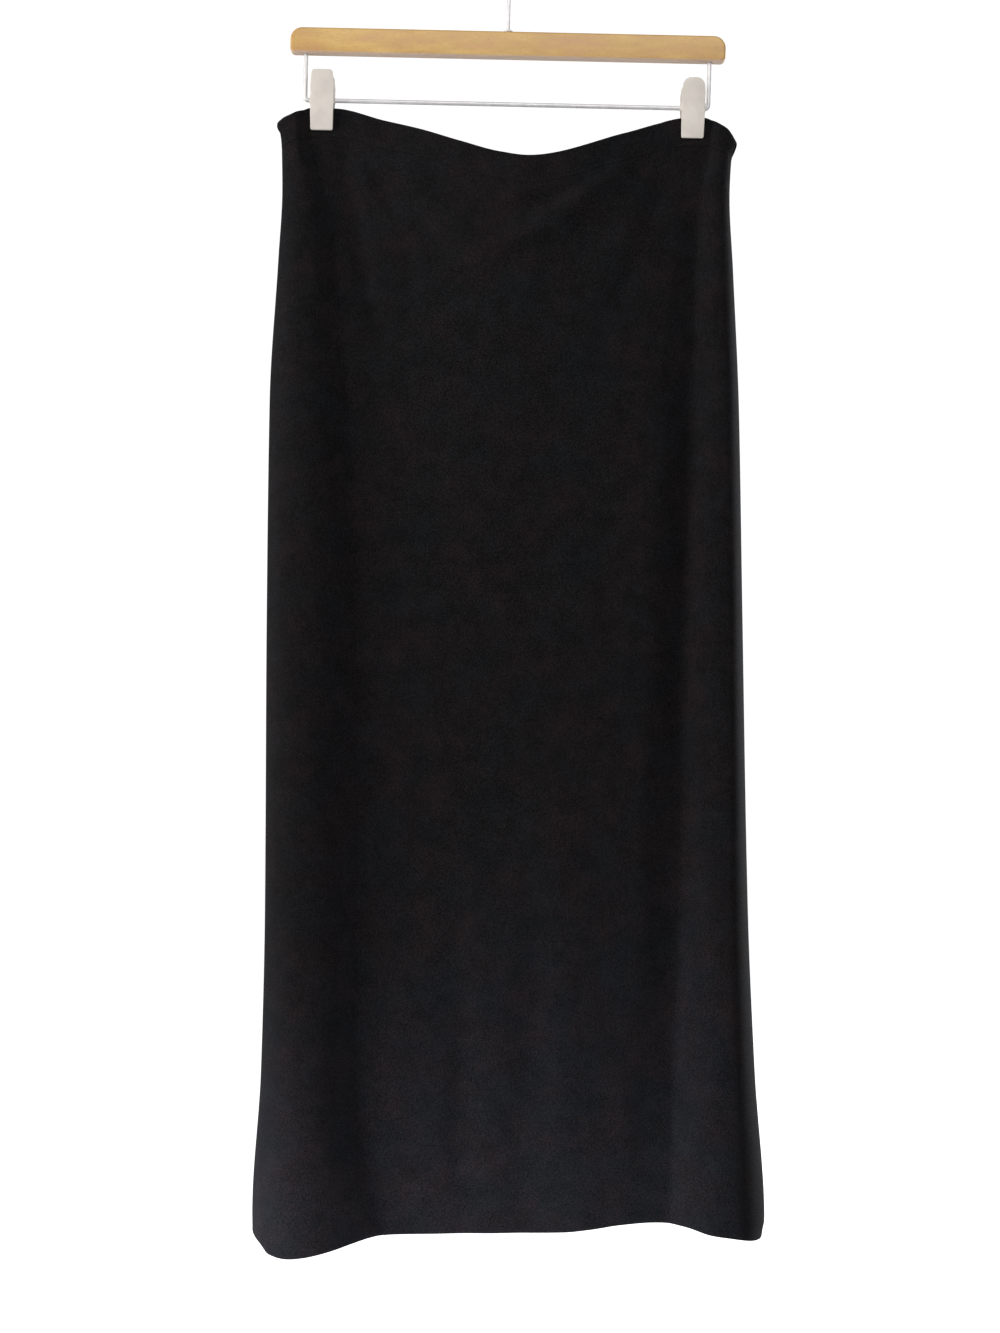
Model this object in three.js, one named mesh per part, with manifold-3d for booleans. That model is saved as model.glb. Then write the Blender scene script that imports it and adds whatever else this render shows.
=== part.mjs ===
// A long column skirt of black stretch jersey, hanging by two clips from a wooden hanger.
// Millimetres, +Z up, +X to the right as the viewer sees it, -Y towards the viewer.
// The origin is the top inside of the hanger's hook, where a rail bears.

import * as THREE from "three";
import { mergeVertices } from "three/addons/utils/BufferGeometryUtils.js";
import Module from "manifold-3d";

const wasm = await Module();
wasm.setup();

// Gaps

const SEAM_GAP = 0.3; // between pieces that are sewn or pressed together
const RUNNING_GAP = 0.4; // between a wire and the hole it passes through

// The hanger's sizes

const HANGER_TILT = THREE.MathUtils.degToRad(1.25); // the right end hangs lower
const HOOK = { wire: 3, bore: 38, tipAngle: 200, throatAngle: -60, shank: 31.7, seat: 14 };
const BAR = { length: 380, height: 22, thickness: 12, topCorner: 10.5, bottomCorner: 4, edge: 2 };
const FERRULE = { radius: 4, height: 1.6 };
const ROD = { wire: 3, halfSpan: 176.5, drop: 40.4, bend: 2.8, seat: 12 };
const CLIP_PLACES = { left: -161.2, right: 162.6 }; // along the rod, from the hanger's middle

const wireRadius = HOOK.wire / 2;
const crookRadius = HOOK.bore / 2 + wireRadius;
const crookFall = -Math.sin(THREE.MathUtils.degToRad(HOOK.throatAngle));
const crookLean = Math.cos(THREE.MathUtils.degToRad(HOOK.throatAngle));
const throatRadius = (crookRadius * crookLean) / (1 - crookLean);
const crookCentre = -HOOK.bore / 2;
const shankTop = crookCentre - (crookRadius + throatRadius) * crookFall;
const barTop = shankTop - HOOK.shank;
const barBottom = barTop - BAR.height;
const rodLevel = barBottom - ROD.drop;

// The clips' sizes, measured from the rod's centre

const CLIP = { foot: 19.4, width: 20.6, top: 18, handle: 24.3, jaw: 27, pad: 12, wall: 2 };
const CLIP_CORNERS = { top: 4.5, foot: 1.5 };
const EAR = { radius: 4, wall: 1.3, proud: 0.6 }; // where the rod passes through a jaw
const SPREAD = Math.atan(0.2); // how far each handle leans out
const SPRING = { wire: 1.2, inside: 2.3, turns: 4, width: 6.4, leg: 14 };

// The cloth's sizes

const WAIST_LEVEL = rodLevel - 2; // close to the waist edge at the left clip
const JERSEY = 1.5; // one layer of the body
const BAND = { height: 25, wall: 2.4 }; // a casing of two layers with elastic between them
const HEM = { depth: 25, wall: 2.8 }; // the turned-up double layer
const LENGTH = 960; // down the body, from the waist edge to the hem
const GRIP = BAND.wall + SEAM_GAP / 2; // half the stack that a clip holds

// A table written as its column names, then one row of values to a line.
const table = (columns, ...rows) =>
  rows.map((row) => Object.fromEntries(row.map((value, i) => [columns[i], value])));

// Where the fold lines run, at distances below the waist edge. The outer seams, the crests of the
// two side rolls, the hollows that run down from the clips, and the flatter middle between them.
const LINES = table(
  ["below", "leftSeam", "leftRoll", "leftFold", "centre", "shoulder", "rightFold", "rightRoll",
    "rightSeam", "pinch"],
  [0, -204.5, -190, -164, 16, 90, 159, 186, 198, 16],
  [25, -200, -187, -164, 14, 90, 159, 182, 193, 15],
  [60, -199.5, -184, -159, 8, 95, 160, 180, 191.5, 8],
  [120, -203, -182, -151, 4, 105, 159, 180, 194.5, 2],
  [240, -210.5, -183, -142, 0, 112, 155, 184, 199.5, 1],
  [430, -213, -183, -131, 0, 112, 149, 186, 202.5, 1],
  [680, -214.5, -181, -131, 0, 105, 145, 187, 207, 1],
  [820, -218, -180, -134, 0, 97, 140, 189, 213, 1],
  [960, -226, -180, -112, 0, 84, 134, 193, 220, 1],
);

// How far the outside of each panel stands off the middle plane on those lines.
const FRONT_DEPTHS = table(
  ["below", "leftRoll", "fold", "centre", "shoulder", "rightRoll"],
  [0, 8, GRIP, 18, 11, 8],
  [25, 11, GRIP + 0.2, 19, 13, 11],
  [60, 15, 5, 21, 16, 14],
  [120, 22, 9, 22, 19, 20],
  [240, 30, 14, 21, 22, 27],
  [430, 37, 17, 22, 25, 34],
  [680, 42, 20, 25, 28, 40],
  [820, 45, 23, 27, 29, 44],
  [960, 50, 27, 29, 28, 48],
);
const BACK_DEPTHS = table(
  ["below", "leftRoll", "fold", "centre", "shoulder", "rightRoll"],
  [0, 8, GRIP, 16, 10, 8],
  [25, 11, GRIP + 0.2, 17, 12, 11],
  [60, 14, 5, 19, 15, 15],
  [120, 20, 9, 20, 18, 21],
  [240, 27, 14, 20, 20, 29],
  [430, 33, 17, 21, 22, 35],
  [680, 38, 20, 24, 25, 39],
  [820, 42, 23, 27, 27, 42],
  [960, 46, 27, 30, 30, 46],
);

// The waist edge and the hem across each panel, as drops below the waist level.
const FRONT_WAIST = table(
  ["x", "drop"],
  [-204.5, 20.5],
  [-195, 12],
  [-184, 6.5],
  [-175, 2],
  [-153, 2],
  [-110, 14],
  [16, 47],
  [99, 25.5],
  [149, 10.3],
  [169, 10.3],
  [184, 20.5],
  [198, 33.5],
);
const BACK_WAIST = FRONT_WAIST.map((point) => (point.x === 16 ? { x: 4, drop: 42 } : point));
const FRONT_HEM = table(
  ["x", "drop"],
  [-226, 975],
  [-217, 980],
  [-205, 989.5],
  [-190, 991.5],
  [-163, 988],
  [-112, 977],
  [20, 977],
  [136, 967.5],
  [195, 975],
  [210, 979],
  [220, 975],
);
const BACK_HEM = table(
  ["x", "drop"],
  [-226, 975],
  [-190, 980],
  [-60, 971],
  [60, 974],
  [190, 980],
  [220, 975],
);

// Pulls that the clips draw in the cloth, and the swags under the sagging edge. Each runs from one
// point by a second to a third, x across and drop down, and a rise below zero is a trough.
const FRONT_CREASES = [
  { name: "left pull", from: [-149, 34], by: [-132, 127], to: [-114, 217], width: 8, rise: -3 },
  { name: "second left pull", from: [-142, 26], by: [-101, 98], to: [-81, 199], width: 9, rise: -1.8 },
  { name: "swag", from: [106, 36], by: [-3, 123], to: [-83, 59], width: 10, rise: 3.6 },
  { name: "swag hollow", from: [80, 44], by: [-3, 96], to: [-72, 55], width: 9, rise: -3 },
  { name: "lower swag hollow", from: [113, 55], by: [75, 119], to: [23, 178], width: 10, rise: -2.6 },
  { name: "right pull", from: [137, 50], by: [118, 107], to: [72, 230], width: 10, rise: -2.6 },
  { name: "left hem fold", from: [-52, 690], by: [-44, 850], to: [-38, 1090], width: 17, rise: -4 },
  { name: "middle hem fold", from: [22, 760], by: [14, 880], to: [4, 1060], width: 15, rise: -3 },
  { name: "middle hem crest", from: [48, 620], by: [50, 800], to: [60, 1080], width: 20, rise: 3.5 },
];
const BACK_CREASES = [
  { name: "left pull", from: [-147, 34], by: [-122, 120], to: [-96, 232], width: 9, rise: -2.8 },
  { name: "swag", from: [88, 50], by: [8, 118], to: [-92, 48], width: 11, rise: 3.2 },
  { name: "swag hollow", from: [74, 46], by: [8, 90], to: [-76, 46], width: 9, rise: -2.6 },
  { name: "right pull", from: [146, 42], by: [128, 120], to: [112, 240], width: 9, rise: -2.8 },
  { name: "left hem crest", from: [-60, 560], by: [-50, 780], to: [-44, 1080], width: 22, rise: 4 },
  { name: "middle hem fold", from: [8, 640], by: [14, 820], to: [24, 1080], width: 18, rise: -4.5 },
  { name: "right hem crest", from: [84, 700], by: [80, 860], to: [72, 1070], width: 18, rise: 3.5 },
];

const FRONT = {
  facing: -1,
  depths: FRONT_DEPTHS,
  waist: FRONT_WAIST,
  hem: FRONT_HEM,
  creases: FRONT_CREASES,
  columns: 44,
  rows: 27,
};
const BACK = {
  facing: 1,
  depths: BACK_DEPTHS,
  waist: BACK_WAIST,
  hem: BACK_HEM,
  creases: BACK_CREASES,
  columns: 36,
  rows: 22,
};

// How each roll falls from its crest to the hollow beside it, as (1 - s^sweep)^foot.
const ROLL_FALL = { sweep: 2.4, foot: 1.4 };
const CREASE_STEPS = 20;
const SECTION_SAMPLES = 240;
const END_CROWDING = 0.35; // how much closer the columns stand at the side seams
const ROW_GROWTH = 1.06; // each row of faces is this much taller than the one above

// Materials

const finish = (color, roughness, metalness = 0) =>
  new THREE.MeshStandardMaterial({ color, roughness, metalness });
const jersey = finish(0x1a1a1d, 0.85);
const elasticCasing = finish(0x18181b, 0.85);
const varnishedWood = finish(0xcda568, 0.45);
const platedWire = finish(0xb9b8b6, 0.3, 0.9);
const palePlastic = finish(0xd6d1ca, 0.5);

// A smooth curve through points that rises and falls only where they do.
function smoothAt(keys, values, at) {
  const last = keys.length - 1;
  if (at <= keys[0]) return values[0];
  if (at >= keys[last]) return values[last];
  const k = keys.findIndex((key, i) => i < last && at <= keys[i + 1]);
  const slope = (i) => (values[i + 1] - values[i]) / (keys[i + 1] - keys[i]);
  const tangent = (i) => {
    if (i === 0 || i === last) return 0;
    const [before, after] = [slope(i - 1), slope(i)];
    return before * after > 0 ? (2 * before * after) / (before + after) : 0;
  };
  const span = keys[k + 1] - keys[k];
  const s = (at - keys[k]) / span;
  const ease = s * s * (3 - 2 * s);
  const bend = tangent(k) * s * (1 - s) * (1 - s) - tangent(k + 1) * s * s * (1 - s);
  return values[k] + (values[k + 1] - values[k]) * ease + span * bend;
}

// One column of a table at a height, or at a place across.
const readTable = (table, key, column, at) =>
  smoothAt(table.map((row) => row[key]), table.map((row) => row[column]), at);

// Every fold line and depth of a panel at one distance below the waist edge.
function sectionAt(panel, below) {
  const line = (column) => readTable(LINES, "below", column, below);
  const depth = (column) => readTable(panel.depths, "below", column, below);
  return {
    leftSeam: line("leftSeam"),
    rightSeam: line("rightSeam"),
    leftRoll: { x: line("leftRoll"), depth: depth("leftRoll") },
    rightRoll: { x: line("rightRoll"), depth: depth("rightRoll") },
    middle: [
      { x: line("leftFold") - line("pinch"), depth: depth("fold") },
      { x: line("leftFold") + line("pinch"), depth: depth("fold") },
      { x: line("centre"), depth: depth("centre") },
      { x: line("shoulder"), depth: depth("shoulder") },
      { x: line("rightFold") - line("pinch"), depth: depth("fold") },
      { x: line("rightFold") + line("pinch"), depth: depth("fold") },
    ],
  };
}

// The depth between a side seam and the hollow beyond its roll.
function rollDepth(x, seam, roll, hollow) {
  const outside = (x - roll.x) * (seam - roll.x) > 0;
  if (outside) {
    const s = Math.min(1, (x - roll.x) / (seam - roll.x));
    return SEAM_GAP / 2 + (roll.depth - SEAM_GAP / 2) * Math.sqrt(1 - s * s);
  }
  const s = Math.min(1, (x - roll.x) / (hollow.x - roll.x));
  return hollow.depth + (roll.depth - hollow.depth) * (1 - s ** ROLL_FALL.sweep) ** ROLL_FALL.foot;
}

// How far a section's outside stands off the middle plane at x.
function depthAt(section, x) {
  const { middle } = section;
  const last = middle.length - 1;
  if (x < middle[0].x) return rollDepth(x, section.leftSeam, section.leftRoll, middle[0]);
  if (x > middle[last].x) return rollDepth(x, section.rightSeam, section.rightRoll, middle[last]);
  return smoothAt(middle.map((point) => point.x), middle.map((point) => point.depth), x);
}

// A section's outline from the left seam to the right one, at the shares of its length asked for.
function sectionPoints(section, shares) {
  const { leftSeam, rightSeam } = section;
  const outline = [];
  for (let i = 0; i <= SECTION_SAMPLES; i += 1) {
    const x = leftSeam + ((rightSeam - leftSeam) * (1 - Math.cos((Math.PI * i) / SECTION_SAMPLES))) / 2;
    outline.push(new THREE.Vector2(x, depthAt(section, x)));
  }
  const lengths = [0];
  for (let i = 1; i < outline.length; i += 1) {
    lengths.push(lengths[i - 1] + outline[i].distanceTo(outline[i - 1]));
  }
  const total = lengths[lengths.length - 1];
  return shares.map((share) => {
    const want = Math.min(share, 1) * total;
    const k = Math.max(1, lengths.findIndex((length) => length >= want - 1e-9));
    const s = (want - lengths[k - 1]) / (lengths[k] - lengths[k - 1]);
    return outline[k - 1].clone().lerp(outline[k], s);
  });
}

// How far one crease lifts or sinks the cloth at a point, fading towards both of its ends.
function creaseRise(crease, x, drop) {
  const [from, by, to] = [crease.from, crease.by, crease.to].map(([a, b]) => new THREE.Vector2(a, b));
  const pull = by.clone().multiplyScalar(2).sub(from.clone().add(to).multiplyScalar(0.5));
  const curve = new THREE.QuadraticBezierCurve(from, pull, to);
  const here = new THREE.Vector2(x, drop);
  let nearest = { distance: Infinity, share: 0 };
  for (let i = 0; i <= CREASE_STEPS; i += 1) {
    const distance = curve.getPoint(i / CREASE_STEPS).distanceTo(here);
    if (distance < nearest.distance) nearest = { distance, share: i / CREASE_STEPS };
  }
  const fade = Math.sin(Math.PI * (0.1 + 0.8 * nearest.share));
  return crease.rise * fade * Math.exp(-((nearest.distance / crease.width) ** 2));
}

// The outside of a panel, one row of points for each distance below the waist edge.
function panelGrid(panel, columns, distances) {
  const shares = Array.from({ length: columns + 1 }, (_, i) => {
    const t = i / columns;
    return t - (END_CROWDING * Math.sin(2 * Math.PI * t)) / (2 * Math.PI);
  });
  return distances.map((below) =>
    sectionPoints(sectionAt(panel, below), shares).map((point, i) => {
      const top = readTable(panel.waist, "x", "drop", point.x);
      const bottom = readTable(panel.hem, "x", "drop", point.x);
      const drop = top + ((bottom - top) * below) / LENGTH;
      const atSeam = i === 0 || i === columns;
      const creased = below > BAND.height ? panel.creases : [];
      const lift = creased.reduce((sum, crease) => sum + creaseRise(crease, point.x, drop), 0);
      const depth = atSeam ? SEAM_GAP / 2 : Math.max(GRIP, point.y + lift);
      return new THREE.Vector3(point.x, panel.facing * depth, -drop);
    }),
  );
}

// The inside of a wall: each outside point moved level, square to its row, by the wall's thickness.
function insideGrid(outside, facing, wallOf) {
  return outside.map((row, j) =>
    row.map((point, i) => {
      const last = row.length - 1;
      const inward = new THREE.Vector3();
      if (i === 0 || i === last) {
        inward.set(i === 0 ? 1 : -1, 0, 0);
      } else {
        const along = row[i + 1].clone().sub(row[i - 1]);
        inward.set(facing * along.y, -facing * along.x, 0).normalize();
      }
      return point.clone().addScaledVector(inward, wallOf(j));
    }),
  );
}

// A closed wall between two grids of points that match.
function wallGeometry(outside, inside, facing) {
  const [rows, columns] = [outside.length, outside[0].length];
  const positions = [...outside.flat(), ...inside.flat()].flatMap((point) => point.toArray());
  const outer = (j, i) => j * columns + i;
  const inner = (j, i) => rows * columns + j * columns + i;
  const faces = [];
  const quad = (a, b, c, d) => faces.push(...(facing < 0 ? [a, b, c, a, c, d] : [a, c, b, a, d, c]));
  for (let j = 0; j < rows - 1; j += 1) {
    for (let i = 0; i < columns - 1; i += 1) {
      quad(outer(j, i), outer(j + 1, i), outer(j + 1, i + 1), outer(j, i + 1));
      quad(inner(j, i), inner(j, i + 1), inner(j + 1, i + 1), inner(j + 1, i));
    }
    quad(outer(j, 0), inner(j, 0), inner(j + 1, 0), outer(j + 1, 0));
    const end = columns - 1;
    quad(outer(j, end), outer(j + 1, end), inner(j + 1, end), inner(j, end));
  }
  for (let i = 0; i < columns - 1; i += 1) {
    quad(outer(0, i), outer(0, i + 1), inner(0, i + 1), inner(0, i));
    quad(outer(rows - 1, i), inner(rows - 1, i), inner(rows - 1, i + 1), outer(rows - 1, i + 1));
  }
  const geometry = new THREE.BufferGeometry();
  geometry.setAttribute("position", new THREE.Float32BufferAttribute(positions, 3));
  geometry.setIndex(faces);
  geometry.computeVertexNormals();
  return geometry;
}

// A skirt body panel, from under the waistband to the hem, with the hem turned up inside. Its top
// is as thick as the band, for the seam's allowance.
function bodyPanel(panel) {
  const top = BAND.height + SEAM_GAP;
  const turn = LENGTH - HEM.depth;
  const distances = [];
  for (let j = 0; j <= panel.rows; j += 1) {
    distances.push(top + ((turn - top) * (ROW_GROWTH ** j - 1)) / (ROW_GROWTH ** panel.rows - 1));
  }
  distances.push(turn + JERSEY, LENGTH);
  const wallOf = (j) => {
    if (j === 0) return BAND.wall;
    return distances[j] > turn ? HEM.wall : JERSEY;
  };
  const outside = panelGrid(panel, panel.columns, distances);
  return wallGeometry(outside, insideGrid(outside, panel.facing, wallOf), panel.facing);
}

// One half of the waistband, from side seam to side seam.
function waistband(panel) {
  const distances = [0, BAND.height / 2, BAND.height];
  const outside = panelGrid(panel, panel.columns, distances);
  return wallGeometry(outside, insideGrid(outside, panel.facing, () => BAND.wall), panel.facing);
}

// Joining and cutting

function solidOf(geometry) {
  const bare = geometry.clone();
  bare.deleteAttribute("normal");
  bare.deleteAttribute("uv");
  const merged = mergeVertices(bare, 1e-4);
  return new wasm.Manifold(
    new wasm.Mesh({
      numProp: 3,
      vertProperties: new Float32Array(merged.attributes.position.array),
      triVerts: new Uint32Array(merged.index.array),
    }),
  );
}

function geometryOf(solid) {
  const mesh = solid.getMesh();
  const geometry = new THREE.BufferGeometry();
  geometry.setAttribute("position", new THREE.BufferAttribute(mesh.vertProperties, 3));
  geometry.setIndex(new THREE.BufferAttribute(mesh.triVerts, 1));
  geometry.computeVertexNormals();
  return geometry;
}

// A round rod of the given length along an axis, ready to be cut out or joined.
function roundStock(radius, length, axis, at, sides = 12) {
  const stock = new THREE.CylinderGeometry(radius, radius, length, sides);
  if (axis === "x") stock.rotateZ(Math.PI / 2);
  if (axis === "z") stock.rotateX(Math.PI / 2);
  return solidOf(stock.translate(at.x ?? 0, at.y ?? 0, at.z ?? 0));
}

// Wire work

// A flat path of lines and arcs, stood up in the plane of the hanger. Its steps are shared out
// evenly among the lines and arcs, so that a tight bend gets as many as a long straight run.
class StandingPath extends THREE.Curve {
  constructor(flat) {
    super();
    this.runs = flat.curves.filter((curve) => curve.getLength() > 1e-6);
  }

  getPoint(t, target = new THREE.Vector3()) {
    const k = Math.min(Math.floor(t * this.runs.length), this.runs.length - 1);
    const point = this.runs[k].getPoint(t * this.runs.length - k);
    return target.set(point.x, 0, point.y);
  }

  getPointAt(t, target) {
    return this.getPoint(t, target);
  }

  getTangentAt(t, target) {
    return this.getTangent(t, target);
  }
}

// The clip's spring: a coil round the rod, and a leg from each end out to a handle.
class SpringPath extends THREE.Curve {
  getPoint(t, target = new THREE.Vector3()) {
    const radius = SPRING.inside + SPRING.wire / 2;
    const sweep = 2 * Math.PI * SPRING.turns + Math.PI - 2 * SPREAD;
    const coil = radius * sweep;
    const along = t * (coil + 2 * SPRING.leg) - SPRING.leg;
    const turned = Math.min(Math.max(along, 0), coil) / radius;
    const angle = SPREAD + turned;
    const x = SPRING.width * (turned / sweep - 0.5);
    const past = along - turned * radius;
    const y = -radius * Math.cos(angle) + past * Math.sin(angle);
    const z = radius * -Math.sin(angle) - past * Math.cos(angle);
    return target.set(x, y, z);
  }
}

function wireGeometry(path, radius, steps, sides) {
  const section = new THREE.Shape().absarc(0, 0, radius, 0, 2 * Math.PI, false);
  return new THREE.ExtrudeGeometry(section, {
    extrudePath: path,
    steps,
    curveSegments: sides / 2,
    bevelEnabled: false,
  });
}

// The hook: a crook of most of a turn, a reverse bend under it, and a straight shank into the bar.
function hookPath() {
  const turn = THREE.MathUtils.degToRad;
  const path = new THREE.Path();
  path.absarc(0, crookCentre, crookRadius, turn(HOOK.tipAngle), turn(HOOK.throatAngle), true);
  path.absarc(throatRadius, shankTop, throatRadius, turn(180 + HOOK.throatAngle), Math.PI, false);
  path.lineTo(0, barTop - HOOK.seat);
  return new StandingPath(path);
}

// The rod: level under the bar, with each end bent up into it.
function rodPath() {
  const { halfSpan, bend, seat } = ROD;
  const path = new THREE.Path();
  path.moveTo(-halfSpan, barBottom + seat);
  path.lineTo(-halfSpan, rodLevel + bend);
  path.absarc(bend - halfSpan, rodLevel + bend, bend, Math.PI, 1.5 * Math.PI, false);
  path.lineTo(halfSpan - bend, rodLevel);
  path.absarc(halfSpan - bend, rodLevel + bend, bend, 1.5 * Math.PI, 2 * Math.PI, false);
  path.lineTo(halfSpan, barBottom + seat);
  return new StandingPath(path);
}

// The bar: rounded more at its upper corners, with sockets for the hook and for the rod's two ends.
function barGeometry() {
  const { length, height, thickness, topCorner, bottomCorner, edge } = BAR;
  const half = length / 2;
  const outline = new THREE.Shape();
  outline.moveTo(bottomCorner - half, 0);
  outline.lineTo(half - bottomCorner, 0);
  outline.absarc(half - bottomCorner, bottomCorner, bottomCorner, -Math.PI / 2, 0, false);
  outline.absarc(half - topCorner, height - topCorner, topCorner, 0, Math.PI / 2, false);
  outline.absarc(topCorner - half, height - topCorner, topCorner, Math.PI / 2, Math.PI, false);
  outline.absarc(bottomCorner - half, bottomCorner, bottomCorner, Math.PI, 1.5 * Math.PI, false);
  const block = new THREE.ExtrudeGeometry(outline, {
    depth: thickness - 2 * edge,
    curveSegments: 4,
    bevelThickness: edge,
    bevelSize: edge,
    bevelOffset: -edge,
    bevelSegments: 2,
  });
  block.rotateX(Math.PI / 2).translate(0, thickness / 2 - edge, barBottom);
  const socket = wireRadius + RUNNING_GAP;
  const margin = 2;
  let bar = solidOf(block).subtract(
    roundStock(socket, HOOK.seat + 2 * margin, "z", { z: barTop - HOOK.seat / 2 }),
  );
  for (const side of [-1, 1]) {
    const place = { x: side * ROD.halfSpan, z: barBottom + ROD.seat / 2 };
    bar = bar.subtract(roundStock(socket, ROD.seat + 2 * margin, "z", place));
  }
  return geometryOf(bar);
}

// A thin collar where the hook enters the bar.
function ferruleGeometry() {
  const inside = wireRadius + SEAM_GAP;
  const { radius, height } = FERRULE;
  const bottom = barTop + SEAM_GAP;
  const profile = [
    [inside, bottom],
    [radius, bottom],
    [radius, bottom + height / 2],
    [radius - height / 2, bottom + height],
    [inside, bottom + height],
    [inside, bottom],
  ].map(([r, z]) => new THREE.Vector2(r, z));
  return new THREE.LatheGeometry(profile, 16).rotateX(Math.PI / 2);
}

// The clips

// A jaw seen from its side: a pad on the cloth, a waist beside the rod and a handle leaning out.
function jawProfile() {
  const pad = GRIP + SEAM_GAP;
  const clear = pad + 2.2; // where the plate passes the spring
  const bend = 5; // above the rod's centre
  const handleOut = clear + (CLIP.handle - bend) * Math.tan(SPREAD);
  const profile = new THREE.Shape();
  const corners = [
    { out: pad, up: -CLIP.jaw },
    { out: pad, up: CLIP.pad - CLIP.jaw },
    { out: clear, up: CLIP.pad - CLIP.jaw + 3 },
    { out: clear, up: bend },
    { out: handleOut, up: CLIP.handle },
    { out: handleOut + CLIP.wall, up: CLIP.handle },
    { out: clear + CLIP.wall, up: bend },
    { out: clear + CLIP.wall, up: CLIP.pad - CLIP.jaw + 2 },
    { out: pad + CLIP.wall, up: -CLIP.jaw },
  ];
  corners.forEach(({ out, up }, i) => (i === 0 ? profile.moveTo(out, up) : profile.lineTo(out, up)));
  return profile;
}

// The same jaw seen from the front, with a rounded handle and slightly eased feet.
function jawOutline() {
  const { foot, width, top, handle, jaw } = CLIP;
  const { top: topCorner, foot: footCorner } = CLIP_CORNERS;
  const footX = foot / 2 - footCorner;
  const topX = top / 2 - topCorner;
  const outline = new THREE.Shape();
  outline.absarc(footX, footCorner - jaw, footCorner, -Math.PI / 2, 0, false);
  outline.lineTo(width / 2, 0);
  outline.lineTo(width / 2, handle / 2);
  outline.absarc(topX, handle - topCorner, topCorner, 0, Math.PI / 2, false);
  outline.absarc(-topX, handle - topCorner, topCorner, Math.PI / 2, Math.PI, false);
  outline.lineTo(-width / 2, handle / 2);
  outline.lineTo(-width / 2, 0);
  outline.absarc(-footX, footCorner - jaw, footCorner, Math.PI, 1.5 * Math.PI, false);
  return outline;
}

// A jaw with an ear at each side that the rod passes through. The ears reach out to earPlace from
// the clip's middle, so that one jaw's ears close over the other's.
function jawGeometry(facing, earPlace) {
  const { width } = CLIP;
  const flat = { bevelEnabled: false, curveSegments: 3 };
  const side = new THREE.ExtrudeGeometry(jawProfile(), { ...flat, depth: width + 4 });
  side.translate(0, 0, -width / 2 - 2).applyMatrix4(
    new THREE.Matrix4().makeBasis(
      new THREE.Vector3(0, 1, 0),
      new THREE.Vector3(0, 0, 1),
      new THREE.Vector3(1, 0, 0),
    ),
  );
  const front = new THREE.ExtrudeGeometry(jawOutline(), { ...flat, depth: 2 * width });
  front.rotateX(Math.PI / 2).translate(0, width, 0);
  let jaw = solidOf(side).intersect(solidOf(front));
  for (const end of [-1, 1]) {
    const x = end * (earPlace - EAR.wall / 2);
    const reach = GRIP + SEAM_GAP + 3;
    const web = new THREE.BoxGeometry(EAR.wall, reach, 1.8 * EAR.radius).translate(x, reach / 2, 0);
    jaw = jaw.add(roundStock(EAR.radius, EAR.wall, "x", { x })).add(solidOf(web));
  }
  jaw = jaw.subtract(roundStock(wireRadius + RUNNING_GAP, 2 * width, "x", {}));
  return geometryOf(facing < 0 ? jaw.rotate([0, 0, 180]) : jaw);
}

// Assembly

const part = new THREE.Group();

function place(parent, name, geometry, material) {
  const mesh = new THREE.Mesh(geometry, material);
  mesh.name = name;
  parent.add(mesh);
  return mesh;
}

const skirt = new THREE.Group();
skirt.position.z = WAIST_LEVEL;
part.add(skirt);
place(skirt, "skirt_front", bodyPanel(FRONT), jersey);
place(skirt, "skirt_back", bodyPanel(BACK), jersey);
place(skirt, "waistband_front", waistband(FRONT), elasticCasing);
place(skirt, "waistband_back", waistband(BACK), elasticCasing);

const hanger = new THREE.Group();
hanger.rotation.y = HANGER_TILT;
part.add(hanger);
place(hanger, "hanger_bar", barGeometry(), varnishedWood);
place(hanger, "hanger_hook", wireGeometry(hookPath(), wireRadius, 54, 8), platedWire);
place(hanger, "hook_ferrule", ferruleGeometry(), platedWire);
place(hanger, "clip_rod", wireGeometry(rodPath(), ROD.wire / 2, 30, 8), platedWire);

for (const [side, along] of Object.entries(CLIP_PLACES)) {
  const clip = new THREE.Group();
  clip.position.set(along, 0, rodLevel);
  hanger.add(clip);
  const outerEar = CLIP.width / 2 + EAR.proud;
  const innerEar = outerEar - EAR.wall - RUNNING_GAP;
  place(clip, `clip_${side}_front_jaw`, jawGeometry(-1, outerEar), palePlastic);
  place(clip, `clip_${side}_back_jaw`, jawGeometry(1, innerEar), palePlastic);
  place(clip, `clip_${side}_spring`, wireGeometry(new SpringPath(), SPRING.wire / 2, 60, 4), platedWire);
}

export default part;
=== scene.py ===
"""A black jersey maxi skirt on a clip hanger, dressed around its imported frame.

The frame is in metres, with +Z up, +X to the right as the viewer sees it and -Y towards the viewer.
Sizes below are in millimetres, as a maker writes them, and meshes are scaled to metres as they are made.
"""

import logging
import math
from collections.abc import Sequence
from dataclasses import dataclass
from enum import Enum

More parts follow.
